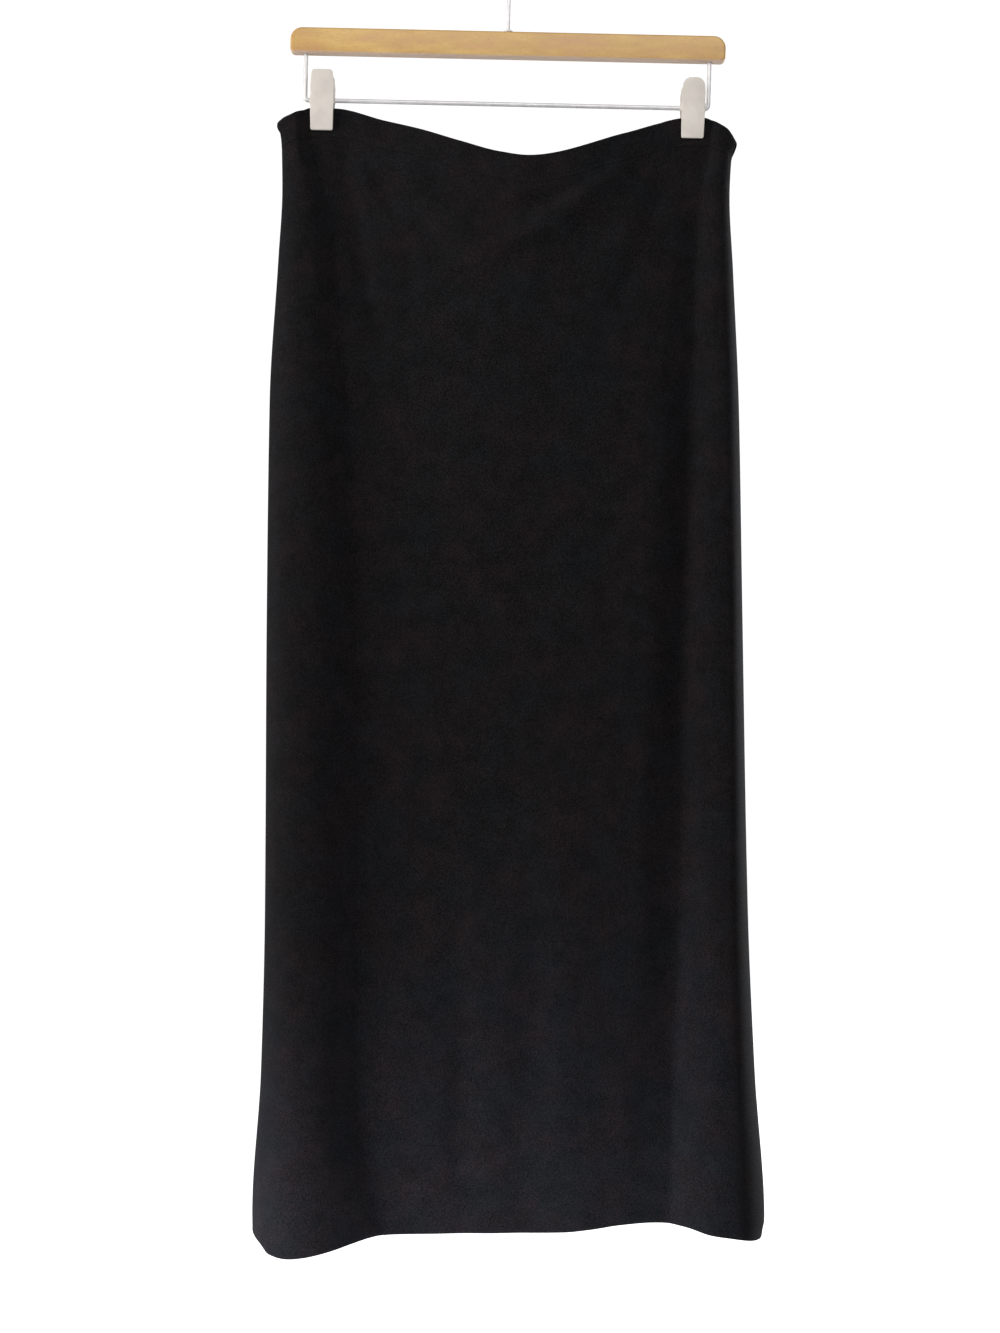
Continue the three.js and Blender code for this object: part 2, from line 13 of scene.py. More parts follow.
import bpy
import numpy as np
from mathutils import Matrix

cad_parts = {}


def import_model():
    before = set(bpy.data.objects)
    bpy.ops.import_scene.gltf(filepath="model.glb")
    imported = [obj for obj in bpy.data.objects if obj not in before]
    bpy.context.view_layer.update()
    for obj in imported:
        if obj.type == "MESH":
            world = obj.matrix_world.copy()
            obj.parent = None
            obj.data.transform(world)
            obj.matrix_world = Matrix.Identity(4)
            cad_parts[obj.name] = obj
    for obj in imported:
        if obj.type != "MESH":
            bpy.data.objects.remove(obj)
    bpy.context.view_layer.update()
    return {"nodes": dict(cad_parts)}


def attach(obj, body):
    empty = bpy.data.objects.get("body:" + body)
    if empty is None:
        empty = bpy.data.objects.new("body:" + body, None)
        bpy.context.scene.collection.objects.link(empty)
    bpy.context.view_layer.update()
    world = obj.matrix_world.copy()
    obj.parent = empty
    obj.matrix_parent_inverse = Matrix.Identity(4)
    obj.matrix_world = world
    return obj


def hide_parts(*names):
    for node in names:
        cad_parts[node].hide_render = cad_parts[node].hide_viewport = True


LOG = logging.getLogger("maxi_skirt")

MM = 0.001
BODY = "root"
DOME_ANGLES = (30, 58, 80)
HANGER_TILT = math.radians(1.25)


class Side(Enum):
    """A side of the skirt, as its sign along an axis."""

    @property
    def word(self) -> str:
        """The side's name in the names of pieces."""
        return self.name.lower()


class Facing(Side):
    """Which way a panel or a jaw faces, along Y."""

    FRONT = -1
    BACK = 1


class Hand(Side):
    """Which side of the skirt or end of the hanger, along X."""

    LEFT = -1
    RIGHT = 1


class Slot(Enum):
    """The record's material slots."""

    JERSEY = "jersey"
    WAISTBAND = "waistband"
    WOOD = "wood"
    WIRE = "wire"
    CLIP = "clip"


# Node graphs


class Graph:
    """A material's node graph, written with one short call for each node."""

    def __init__(self, name: str) -> None:
        """Starts a material with its Principled shader.

        Args:
            name: The material's name.
        """
        self.material = bpy.data.materials.new(name)
        self.material.use_nodes = True
        self.tree = self.material.node_tree
        self.shader = self.tree.nodes["Principled BSDF"]

    def node(self, kind: str, inputs: dict | None = None, **settings: object) -> bpy.types.Node:
        """Adds a node.

        Args:
            kind: The node's type, without the ShaderNode prefix.
            inputs: For each input, by name or number, the output that feeds it or its constant.
            settings: The node's own options.

        Returns:
            The new node.
        """
        made = self.tree.nodes.new("ShaderNode" + kind)
        for key, value in settings.items():
            setattr(made, key, value)
        self.feed(made, inputs or {})
        return made

    def feed(self, node: bpy.types.Node, inputs: dict) -> None:
        """Sets or links a node's inputs.

        Args:
            node: The node.
            inputs: For each input, by name or number, the output that feeds it or its constant.
        """
        for key, value in inputs.items():
            if isinstance(value, bpy.types.NodeSocket):
                self.tree.links.new(value, node.inputs[key])
            else:
                node.inputs[key].default_value = value

    def shade(self, inputs: dict) -> bpy.types.Material:
        """Sets the Principled shader's inputs.

        Args:
            inputs: For each input by name, its output or constant.

        Returns:
            The finished material.
        """
        self.feed(self.shader, inputs)
        return self.material

    def math(self, operation: str, *values: object) -> bpy.types.NodeSocket:
        """Adds a Math node and returns its result.

        Args:
            operation: The node's operation.
            values: Its inputs, each an output or a number.

        Returns:
            The node's output.
        """
        made = self.node("Math", dict(enumerate(values)), operation=operation)
        return made.outputs[0]

    def object_place(self, turn: tuple = (0, 0, 0), scale: tuple = (1, 1, 1)) -> bpy.types.NodeSocket:
        """Gives Object coordinates, turned and scaled for a pattern.

        Args:
            turn: The turn about each axis, in radians.
            scale: The scale along each axis.

        Returns:
            The coordinates.
        """
        place = self.node("TexCoord").outputs["Object"]
        return self.node("Mapping", {"Vector": place, "Rotation": turn, "Scale": scale}).outputs[0]

    def noise(
        self, place: bpy.types.NodeSocket, scale: float, detail: float = 2
    ) -> bpy.types.NodeSocket:
        """Adds a noise pattern.

        Args:
            place: The coordinates.
            scale: How many blotches there are to a metre.
            detail: How many finer layers are added.

        Returns:
            The noise, from 0 to 1.
        """
        return self.node("TexNoise", {"Vector": place, "Scale": scale, "Detail": detail}).outputs["Fac"]

    def blend(
        self, first: bpy.types.NodeSocket, second: bpy.types.NodeSocket, share: float
    ) -> bpy.types.NodeSocket:
        """Adds up two patterns.

        Args:
            first: The first pattern.
            second: The second pattern.
            share: The first one's share of the sum.

        Returns:
            The sum.
        """
        return self.math("MULTIPLY_ADD", first, share, self.math("MULTIPLY", second, 1 - share))

    def multiply(
        self, first: bpy.types.NodeSocket, second: bpy.types.NodeSocket
    ) -> bpy.types.NodeSocket:
        """Multiplies two colours.

        Args:
            first: The first colour.
            second: The second colour, or a grey level.

        Returns:
            The product.
        """
        inputs = {"Fac": 1.0, "Color1": first, "Color2": second}
        return self.node("MixRGB", inputs, blend_type="MULTIPLY").outputs[0]

    def over(
        self, factor: bpy.types.NodeSocket, under: bpy.types.NodeSocket, colour: tuple[float, float, float]
    ) -> bpy.types.NodeSocket:
        """Lays a colour over another.

        Args:
            factor: How much of it is laid on.
            under: The colour below.
            colour: The colour on top.

        Returns:
            The mix.
        """
        inputs = {"Fac": factor, "Color1": under, "Color2": (*colour, 1)}
        return self.node("MixRGB", inputs).outputs[0]

    def ramp(self, factor: bpy.types.NodeSocket, *stops: tuple) -> bpy.types.NodeSocket:
        """Adds a colour ramp.

        Args:
            factor: What it reads.
            stops: Each stop's place and colour.

        Returns:
            The colour.
        """
        made = self.node("ValToRGB", {"Fac": factor})
        elements = made.color_ramp.elements
        while len(elements) < len(stops):
            elements.new(0.5)
        for element, (place, colour) in zip(elements, stops):
            element.position = place
            element.color = (*colour, 1)
        return made.outputs["Color"]

    def bump(
        self, height: bpy.types.NodeSocket, depth: float, under: bpy.types.NodeSocket | None = None
    ) -> bpy.types.NodeSocket:
        """Adds a bump.

        Args:
            height: The relief, from 0 to 1.
            depth: How deep the relief is, in metres.
            under: A bump's normal that this one adds to.

        Returns:
            The normal.
        """
        inputs = {"Height": height, "Distance": depth, "Strength": 1.0}
        if under is not None:
            inputs["Normal"] = under
        return self.node("Bump", inputs).outputs["Normal"]


# Finishes, with the size of each pattern as its number of blotches to a metre


@dataclass(frozen=True)
class JerseyFinish:
    """Soft black knit jersey: columns of small V stitches, a short nap and a faint uneven dye."""

    name: str = "black jersey"
    cool: tuple[float, float, float] = (0.0043, 0.0047, 0.0055)
    warm: tuple[float, float, float] = (0.0069, 0.0049, 0.0052)
    patches: float = 30
    small_patches: float = 300
    worn_patches: float = 55
    worn_grain: float = 850
    unevenness: float = 7.6
    faintest: float = 0.15
    wale: float = 0.9 * MM
    course: float = 0.75 * MM
    stitch_lean: float = 0.55
    relief: float = 0.16 * MM
    fuzz: float = 1600
    nap: float = 0.05 * MM
    shine: float = 0.09
    sheen: float = 0.03
    sheen_roughness: float = 0.45
    sheen_tint: tuple[float, float, float, float] = (0.80, 0.84, 1.0, 1.0)
    roughness: float = 0.78

    def stitches(self, graph: Graph) -> bpy.types.NodeSocket:
        """Draws the knit on the piece's own UV map, which is in metres of cloth.

        Args:
            graph: The material's graph.

        Returns:
            The relief, from 0 to 1.
        """
        parts = graph.node("SeparateXYZ", {0: graph.node("UVMap", uv_map="cloth").outputs[0]})
        across = graph.math("FRACT", graph.math("DIVIDE", parts.outputs[0], self.wale))
        off_column = graph.math("ABSOLUTE", graph.math("MULTIPLY_ADD", across, 2.0, -1.0))
        courses = graph.math("DIVIDE", parts.outputs[1], self.course)
        leg = graph.math("MULTIPLY_ADD", off_column, self.stitch_lean, courses)
        wave = graph.math("SINE", graph.math("MULTIPLY", leg, 2 * math.pi))
        raised = graph.math("MULTIPLY_ADD", wave, 0.5, 0.5)
        column = graph.math("SUBTRACT", 1.0, graph.math("POWER", off_column, 2.0))
        return graph.math("MULTIPLY", raised, column)

    def dye(self, graph: Graph) -> bpy.types.NodeSocket:
        """Draws the black dye, in patches of two shades that are worn unevenly.

        Args:
            graph: The material's graph.

        Returns:
            The colour.
        """
        place, turned = graph.object_place(), graph.object_place((0.4, 0.2, 0.9))
        broad, small = graph.noise(place, self.patches, 3), graph.noise(place, self.small_patches)
        shade = graph.ramp(graph.blend(broad, small, 0.6), (0.43, self.cool), (0.57, self.warm))
        worn, grain = graph.noise(turned, self.worn_patches), graph.noise(turned, self.worn_grain)
        off_middle = graph.math("SUBTRACT", graph.blend(worn, grain, 0.2), 0.5)
        level = graph.math("MULTIPLY_ADD", off_middle, self.unevenness, 1.0)
        return graph.multiply(shade, graph.math("MAXIMUM", level, self.faintest))

    def material(self) -> bpy.types.Material:
        """Builds the material.

        Returns:
            The material.
        """
        graph = Graph(self.name)
        knit = graph.bump(self.stitches(graph), self.relief)
        fuzz = graph.noise(graph.object_place(), self.fuzz)
        return graph.shade({
            "Base Color": self.dye(graph),
            "Roughness": self.roughness,
            "Specular IOR Level": self.shine,
            "Sheen Weight": self.sheen,
            "Sheen Roughness": self.sheen_roughness,
            "Sheen Tint": self.sheen_tint,
            "Normal": graph.bump(fuzz, self.nap, knit),
        })


@dataclass(frozen=True)
class ThreadFinish:
    """Black sewing thread, twisted, with a slight shine."""

    name: str = "black thread"
    colour: tuple[float, float, float] = (0.006, 0.006, 0.007)
    lighter: tuple[float, float, float] = (0.011, 0.011, 0.012)
    twist: float = 2400
    relief: float = 0.05 * MM
    roughness: float = 0.65
    shine: float = 0.2

    def material(self) -> bpy.types.Material:
        """Builds the material.

        Returns:
            The material.
        """
        graph = Graph(self.name)
        strands = graph.noise(graph.object_place(), self.twist, 1)
        return graph.shade({
            "Base Color": graph.ramp(strands, (0.35, self.colour), (0.65, self.lighter)),
            "Roughness": self.roughness,
            "Specular IOR Level": self.shine,
            "Normal": graph.bump(strands, self.relief),
        })


@dataclass(frozen=True)
class WoodFinish:
    """Pale beech under satin varnish: long soft streaks, short darker flecks and fine pores.

    The patterns are turned with the bar and drawn out along it. The lower edge has painted shade: a
    pinkish grey for the shadow and bounce light under the bar.
    """

    name: str = "varnished beech"
    tilt: float = HANGER_TILT
    # Painted shade: the lower edge is coloured pinkish grey for the shadow and bounce light under the bar
    shade_edge_level: float = -107.1 * MM
    shade_edge_fade: tuple[float, float] = (1.3 * MM, 0.5 * MM)
    shade_edge_wander: float = 1.2 * MM
    pale: tuple[float, float, float] = (0.625, 0.395, 0.122)
    mid: tuple[float, float, float] = (0.56, 0.335, 0.097)
    rosy: tuple[float, float, float] = (0.53, 0.293, 0.105)
    fleck: tuple[float, float, float] = (0.39, 0.215, 0.072)
    # The colour of the painted shade on the lower edge
    raw: tuple[float, float, float] = (0.60, 0.45, 0.345)
    band_tone: tuple[float, float, float] = (0.90, 0.88, 0.86)
    streaks: float = 30
    bands: float = 24
    flecks: float = 330
    pores: float = 760
    streak_relief: float = 0.25 * MM
    pore_relief: float = 0.05 * MM
    varnish: float = 0.25

    def grain(
        self,
        graph: Graph,
        streaks: bpy.types.NodeSocket,
        flecks: bpy.types.NodeSocket,
        pores: bpy.types.NodeSocket,
    ) -> bpy.types.NodeSocket:
        """Draws the varnished wood's colour.

        Args:
            graph: The material's graph.
            streaks: The pattern of streaks.
            flecks: The pattern of flecks.
            pores: The pattern of pores.

        Returns:
            The colour.
        """
        bands = graph.noise(graph.object_place((0, -self.tilt, 0), (0.5, 1.6, 1.6)), self.bands)
        wood = graph.ramp(streaks, (0.30, self.rosy), (0.48, self.mid), (0.66, self.pale))
        broad = graph.ramp(bands, (0.35, self.band_tone), (0.65, (1.0, 1.0, 1.0)))
        marks = graph.math("MULTIPLY", graph.math("GREATER_THAN", flecks, 0.60), 0.30)
        dots = graph.math("MULTIPLY", graph.math("GREATER_THAN", pores, 0.66), 0.35)
        return graph.over(graph.math("MAXIMUM", marks, dots), graph.multiply(wood, broad), self.fleck)

    def painted_shade_mask(self, graph: Graph, flecks: bpy.types.NodeSocket) -> bpy.types.NodeSocket:
        """Finds the lower edge where painted shade stands for the shadow and bounce light under the bar.

        Args:
            graph: The material's graph.
            flecks: The pattern that the painted shade's upper end wanders with.

        Returns:
            How much painted shade there is, from 0 to 1.
        """
        height = graph.node("SeparateXYZ", {0: graph.object_place((0, -self.tilt, 0))}).outputs[2]
        above, below = self.shade_edge_fade
        return graph.node("MapRange", {
            "Value": graph.math("MULTIPLY_ADD", flecks, self.shade_edge_wander, height),
            "From Min": self.shade_edge_level + above,
            "From Max": self.shade_edge_level - below,
        }).outputs[0]

    def material(self) -> bpy.types.Material:
        """Builds the material, with the grain along the bar.

        Returns:
            The material.
        """
        graph = Graph(self.name)
        turn = (0, -self.tilt, 0)
        streaks = graph.noise(graph.object_place(turn, (1, 4, 4)), self.streaks, 5)
        flecks = graph.noise(graph.object_place(turn, (1, 2.2, 2.2)), self.flecks)
        pores = graph.noise(graph.object_place(turn, (1, 3.5, 3.5)), self.pores, 1)
        varnished = self.grain(graph, streaks, flecks, pores)
        pits = graph.bump(pores, self.pore_relief)
        return graph.shade({
            # The lower edge gets its painted shade here
            "Base Color": graph.over(self.painted_shade_mask(graph, flecks), varnished, self.raw),
            "Roughness": graph.math("MULTIPLY_ADD", streaks, 0.16, 0.36),
            "Coat Weight": self.varnish,
            "Coat Roughness": 0.3,
            "Normal": graph.bump(streaks, self.streak_relief, pits),
        })


@dataclass(frozen=True)
class WireFinish:
    """Bright zinc-plated steel wire, faintly drawn and dulled in places."""

    name: str = "plated wire"
    bright: tuple[float, float, float] = (0.75, 0.74, 0.74)
    dull: tuple[float, float, float] = (0.66, 0.65, 0.65)
    blotches: float = 120
    drawn: float = 900
    metal: float = 0.5
    relief: float = 0.01 * MM

    def material(self) -> bpy.types.Material:
        """Builds the material.

        Returns:
            The material.
        """
        graph = Graph(self.name)
        place = graph.object_place()
        blotches = graph.noise(place, self.blotches, 3)
        drawn = graph.noise(place, self.drawn)
        return graph.shade({
            "Base Color": graph.ramp(blotches, (0.35, self.dull), (0.60, self.bright)),
            "Metallic": self.metal,
            "Roughness": graph.math("MULTIPLY_ADD", drawn, 0.15, 0.42),
            "Normal": graph.bump(drawn, self.relief),
        })


@dataclass(frozen=True)
class PlasticFinish:
    """Pale warm grey moulded plastic with a fine texture and slightly scuffed patches."""

    name: str = "pale plastic"
    clean: tuple[float, float, float] = (0.655, 0.605, 0.55)
    worn: tuple[float, float, float] = (0.605, 0.558, 0.507)
    clouds: float = 90
    texture: float = 1500
    relief: float = 0.05 * MM
    depth_of_light: tuple[float, float, float] = (0.004, 0.003, 0.002)

    def material(self) -> bpy.types.Material:
        """Builds the material.

        Returns:
            The material.
        """
        graph = Graph(self.name)
        place = graph.object_place()
        clouds = graph.noise(place, self.clouds, 3)
        texture = graph.noise(place, self.texture)
        return graph.shade({
            "Base Color": graph.ramp(clouds, (0.32, self.worn), (0.55, self.clean)),
            "Roughness": graph.math("MULTIPLY_ADD", clouds, 0.2, 0.38),
            "Subsurface Weight": 0.08,
            "Subsurface Radius": self.depth_of_light,
            "Normal": graph.bump(texture, self.relief),
        })


@dataclass(frozen=True)
class FloorFinish:
    """The studio's plain white floor."""

    name: str = "white floor"
    colour: tuple[float, float, float] = (0.9, 0.9, 0.9)
    shaded: tuple[float, float, float] = (0.882, 0.882, 0.882)
    patches: float = 0.7
    glow: float = 0.75

    def material(self) -> bpy.types.Material:
        """Builds the material.

        Returns:
            The material.
        """
        graph = Graph(self.name)
        shade = graph.noise(graph.object_place(), self.patches, 1)
        seen = graph.node("LightPath").outputs["Is Camera Ray"]
        return graph.shade({
            "Base Color": graph.ramp(shade, (0.3, self.colour), (0.7, self.shaded)),
            "Roughness": 0.9,
            "Emission Color": (1.0, 1.0, 1.0, 1.0),
            "Emission Strength": graph.math("MULTIPLY", seen, self.glow),
        })


# Meshes


def make_piece(
    name: str,
    points: np.ndarray,
    faces: Sequence[Sequence[int]],
    material: bpy.types.Material,
    cloth: np.ndarray | None = None,
) -> bpy.types.Object:
    """Makes a smooth mesh object at the origin.

    Args:
        name: The piece's name.
        points: The vertices, in millimetres.
        faces: The vertex numbers of each face, outwards by the right-hand rule.
        material: Its finish.
        cloth: For cloth, each vertex's place on the flat cloth, in millimetres.

    Returns:
        The object, linked to the scene.
    """
    mesh = bpy.data.meshes.new(name)
    mesh.from_pydata((np.asarray(points, float).reshape(-1, 3) * MM).tolist(), [], faces)
    mesh.materials.append(material)
    mesh.shade_smooth()
    if cloth is not None:
        corners = np.empty(len(mesh.loops), np.int32)
        mesh.loops.foreach_get("vertex_index", corners)
        layer = mesh.uv_layers.new(name="cloth")
        layer.data.foreach_set("uv", (cloth.reshape(-1, 2)[corners] * MM).astype(np.float32).ravel())
    mesh.update()
    piece = bpy.data.objects.new(name, mesh)
    bpy.context.scene.collection.objects.link(piece)
    return piece


def hand_over(piece: bpy.types.Object, slot: Slot, *nodes: str) -> bpy.types.Object:
    """Puts a finished piece on the skirt's body and reports it.

    Args:
        piece: The piece.
        slot: The record's slot that its finish belongs to; not used.
        nodes: The frame's nodes that it stands for.

    Returns:
        The piece.
    """
    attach(piece, BODY)
    if nodes:
        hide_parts(*nodes)
    triangles = sum(len(face.vertices) - 2 for face in piece.data.polygons)
    LOG.info("%s: %d triangles", piece.name, triangles)
    return piece


def ring_faces(rows: int, around: int, closed_rows: bool = False) -> list[tuple[int, ...]]:
    """Faces between rings of points, each ring closed on itself.

    Args:
        rows: How many rings there are.
        around: How many points each ring has.
        closed_rows: Whether the last ring joins the first.

    Returns:
        The faces, outwards where a ring turns anticlockwise seen from where the rings come from.
    """
    faces = []
    for row in range(rows if closed_rows else rows - 1):
        here, there = row * around, (row + 1) % rows * around
        for spot in range(around):
            beside = (spot + 1) % around
            faces.append((here + spot, here + beside, there + beside, there + spot))
    return faces


def loft(rings: np.ndarray) -> tuple[np.ndarray, list[tuple[int, ...]]]:
    """Closes a stack of rings with a flat face at each end.

    Args:
        rings: Rings x points x 3, each ring clockwise seen from the way the stack goes.

    Returns:
        The points and the outward faces.
    """
    rows, around = rings.shape[:2]
    faces = [face[::-1] for face in ring_faces(rows, around)]
    faces.append(tuple(range(around)))
    faces.append(tuple(reversed(range((rows - 1) * around, rows * around))))
    return rings.reshape(-1, 3), faces


def tube(
    path: np.ndarray, radius: float, sides: int, round_ends: bool = True
) -> tuple[np.ndarray, list[tuple[int, ...]]]:
    """Makes a wire along a path.

    Args:
        path: Points x 3, in order.
        radius: The wire's radius.
        sides: How many sides it has.
        round_ends: Whether the ends are domed.

    Returns:
        The points and the outward faces.
    """
    steps = np.diff(path, axis=0)
    steps /= np.linalg.norm(steps, axis=1)[:, None]
    tangents = np.vstack([steps[:1], steps[:-1] + steps[1:], steps[-1:]])
    tangents /= np.linalg.norm(tangents, axis=1)[:, None]
    side = np.cross(tangents[0], (0.0, 1.0, 0.0))
    if np.linalg.norm(side) < 0.1:
        side = np.cross(tangents[0], (1.0, 0.0, 0.0))
    angles = np.linspace(0, 2 * np.pi, sides, endpoint=False)
    rings = []
    for point, tangent in zip(path, tangents):
        side = side - tangent * side.dot(tangent)
        side /= np.linalg.norm(side)
        other = np.cross(tangent, side)
        rings.append((point, tangent, np.outer(np.cos(angles), side) + np.outer(np.sin(angles), other)))
    stack = [point + radius * spokes for point, _, spokes in rings]
    if round_ends:
        for end, way in ((0, -1), (-1, 1)):
            point, tangent, spokes = rings[end]
            caps = [
                point + way * tangent * radius * math.sin(angle) + spokes * radius * math.cos(angle)
                for angle in np.radians(DOME_ANGLES)
            ]
            stack = caps[::-1] + stack if way < 0 else stack + caps
    return loft(np.array(stack)[:, ::-1])


def join(*parts: tuple[np.ndarray, list]) -> tuple[np.ndarray, list[tuple[int, ...]]]:
    """Puts several meshes' points and faces together.

    Args:
        parts: Each mesh's points and faces.

    Returns:
        All the points and faces.
    """
    points, faces, start = [], [], 0
    for own, own_faces in parts:
        points.append(own)
        faces.extend(tuple(vertex + start for vertex in face) for face in own_faces)
        start += len(own)
    return np.vstack(points), faces


# Smooth curves, waves and tables


def ease(share: np.ndarray) -> np.ndarray:
    """A share from 0 to 1 that starts and ends level."""
    return share * share * (3 - 2 * share)


def smooth_at(keys: np.ndarray, values: np.ndarray, at: np.ndarray | float) -> np.ndarray:
    """A smooth curve through points that rises and falls only where they do.

    Args:
        keys: The points' places, rising.
        values: The points' values.
        at: Where to read the curve.

    Returns:
        The curve's values.
    """
    slopes = np.diff(values) / np.diff(keys)
    total = slopes[:-1] + slopes[1:]
    same_way = slopes[:-1] * slopes[1:] > 0
    inner = np.where(same_way, 2 * slopes[:-1] * slopes[1:] / np.where(same_way, total, 1), 0)
    tangents = np.concatenate([[0], inner, [0]])
    spot = np.clip(np.searchsorted(keys, at) - 1, 0, len(slopes) - 1)
    span = keys[spot + 1] - keys[spot]
    share = np.clip((at - keys[spot]) / span, 0, 1)
    leaving = tangents[spot] * share * (1 - share) ** 2
    arriving = tangents[spot + 1] * share * share * (1 - share)
    straight = values[spot] + (values[spot + 1] - values[spot]) * ease(share)
    return straight + span * (leaving - arriving)


def soft_noise(x: np.ndarray, y: np.ndarray, cell: tuple[float, float], seed: int) -> np.ndarray:
    """Smooth random waves over a surface.

    Args:
        x: Places one way, in millimetres.
        y: Places the other way.
        cell: The size of a wave each way.
        seed: The draw.

    Returns:
        The waves, from -1 to 1.
    """
    size = 64
    lattice = np.random.default_rng(seed).uniform(-1, 1, (size, size))
    across, along = x / cell[0], y / cell[1]
    column, row = np.floor(across).astype(int), np.floor(along).astype(int)
    share, rise = ease(across - column), ease(along - row)
    left, right = column % size, (column + 1) % size
    near, far = row % size, (row + 1) % size
    low = lattice[left, near] * (1 - share) + lattice[right, near] * share
    high = lattice[left, far] * (1 - share) + lattice[right, far] * share
    return low * (1 - rise) + high * rise


@dataclass(frozen=True)
class Table:
    """Rows of measures in millimetres under named columns, read by the first column."""

    columns: str
    rows: tuple[tuple[float, ...], ...]

    @property
    def names(self) -> list[str]:
        """The columns' names."""
        return self.columns.split()

    def column(self, name: str) -> np.ndarray:
        """One column's values."""
        return np.array(self.rows, float)[:, self.names.index(name)]

    def read(self, name: str, at: np.ndarray | float) -> np.ndarray:
        """Reads a column smoothly.

        Args:
            name: The column.
            at: Values of the first column.

        Returns:
            The column's values there.
        """
        return smooth_at(self.column(self.names[0]), self.column(name), at)

    def row(self, at: float) -> dict[str, float]:
        """Reads every column after the first at one value of the first."""
        return {name: float(self.read(name, at)) for name in self.names[1:]}


# The cloth's sizes, which are those of the frame's solids

SEAM_GAP = 0.3
WAIST_LEVEL = -150.57
LENGTH = 960.0
BAND_HEIGHT = 25.0
BAND_WALL = 2.4
GRIP = BAND_WALL + SEAM_GAP / 2
HEM_DEPTH = 25.0
ROLL_SWEEP = 2.4
ROLL_FOOT = 1.4

# Sizes that the scene alone has: a layer of jersey, seams as they touch and what is cut for them

JERSEY = 0.9
SEAM_TOUCH = 0.001
PRESSED = 0.1

# Lines down the skirt, the depths of both panels and their edges

LINES = Table(
    "below leftSeam leftRoll leftFold centre shoulder rightFold rightRoll rightSeam pinch",
    (
        (0, -201.5, -188.5, -164, 16, 90, 159, 184, 193.5, 16),
        (2, -203.7, -189, -164, 15.8, 90, 159, 184.6, 195.9, 15.9),
        (5, -204.2, -188.8, -164, 15.6, 90, 159, 185, 198, 15.8),
        (12, -201.3, -188, -164, 15, 90, 159, 184, 196.4, 15.5),
        (25, -200, -187, -164, 14, 90, 159, 182, 193, 15),
        (60, -199.5, -184, -159, 8, 95, 160, 180, 191.5, 8),
        (120, -203, -182, -151, 4, 105, 159, 180, 194.5, 2),
        (240, -210.5, -183, -142, 0, 112, 155, 184, 199.5, 1),
        (430, -213, -183, -131, 0, 112, 149, 186, 202.5, 1),
        (680, -214.5, -181, -131, 0, 105, 145, 187, 207, 1),
        (820, -218, -180, -134, 0, 97, 140, 189, 213, 1),
        (946, -225.6, -180, -114, 0, 85, 134.5, 192.6, 221.4, 1),
        (960, -225.4, -180, -112, 0, 84, 134, 193, 219, 1),
    ),
)
FRONT_DEPTHS = Table(
    "below leftRoll fold centre shoulder rightRoll",
    (
        (0, 8, GRIP, 18, 11, 8),
        (25, 11, GRIP + 0.2, 19, 13, 11),
        (60, 15, 5, 21, 16, 14),
        (120, 22, 9, 22, 19, 20),
        (240, 30, 14, 21, 22, 27),
        (430, 37, 17, 22, 25, 34),
        (680, 42, 20, 25, 28, 40),
        (820, 45, 23, 27, 29, 44),
        (960, 50, 27, 29, 28, 48),
    ),
)
BACK_DEPTHS = Table(
    "below leftRoll fold centre shoulder rightRoll",
    (
        (0, 8, GRIP, 16, 10, 8),
        (25, 11, GRIP + 0.2, 17, 12, 11),
        (60, 14, 5, 19, 15, 15),
        (120, 20, 9, 20, 18, 21),
        (240, 27, 14, 20, 20, 29),
        (430, 33, 17, 21, 22, 35),
        (680, 38, 20, 24, 25, 39),
        (820, 42, 23, 27, 27, 42),
        (960, 46, 27, 30, 30, 46),
    ),
)
FRONT_WAIST = Table(
    "x drop",
    (
        (-204.5, 12.6), (-201.5, 12), (-198, 10.6), (-194.5, 9.4), (-184, 5), (-175, 1.6), (-153, 2),
        (-110, 13.2), (-79, 21.4), (-44, 33), (-9, 43.4), (16, 46.8), (99, 25.5), (131, 15), (149, 10.6),
        (169, 10.1), (184, 17.7), (190, 21.2), (193.5, 24.2), (198, 28),
    ),
)
BACK_WAIST = Table(
    "x drop",
    (
        (-204.5, 12.6), (-201.5, 12), (-198, 10.6), (-194.5, 9.4), (-184, 5), (-175, 1.6), (-153, 2),
        (-110, 14), (4, 42), (99, 25.5), (149, 10.3), (169, 10.1), (184, 17.7), (190, 21.2),
        (193.5, 24.2), (198, 28),
    ),
)
FRONT_HEM = Table(
    "x drop",
    (
        (-226, 979.6), (-222.5, 981.2), (-215, 985), (-207, 991.4), (-192.5, 993.2), (-177, 991.8),
        (-168, 990.2), (-150, 986.2), (-137, 983), (-121, 980.2), (-100, 978.5), (-50, 977.6), (13, 976.9),
        (44, 976.3), (69, 974), (94, 970.4), (126, 968.2), (150, 969.8), (171, 974.3), (184, 975.6),
        (197, 977.4), (212, 981.2), (219, 982.8),
    ),
)
BACK_HEM = Table(
    "x drop",
    (
        (-226, 979.6), (-214, 982.5), (-190, 980), (-130, 974), (-60, 971), (0, 972.4), (60, 974),
        (130, 976), (190, 980), (212, 983.2), (219, 982.8),
    ),
)


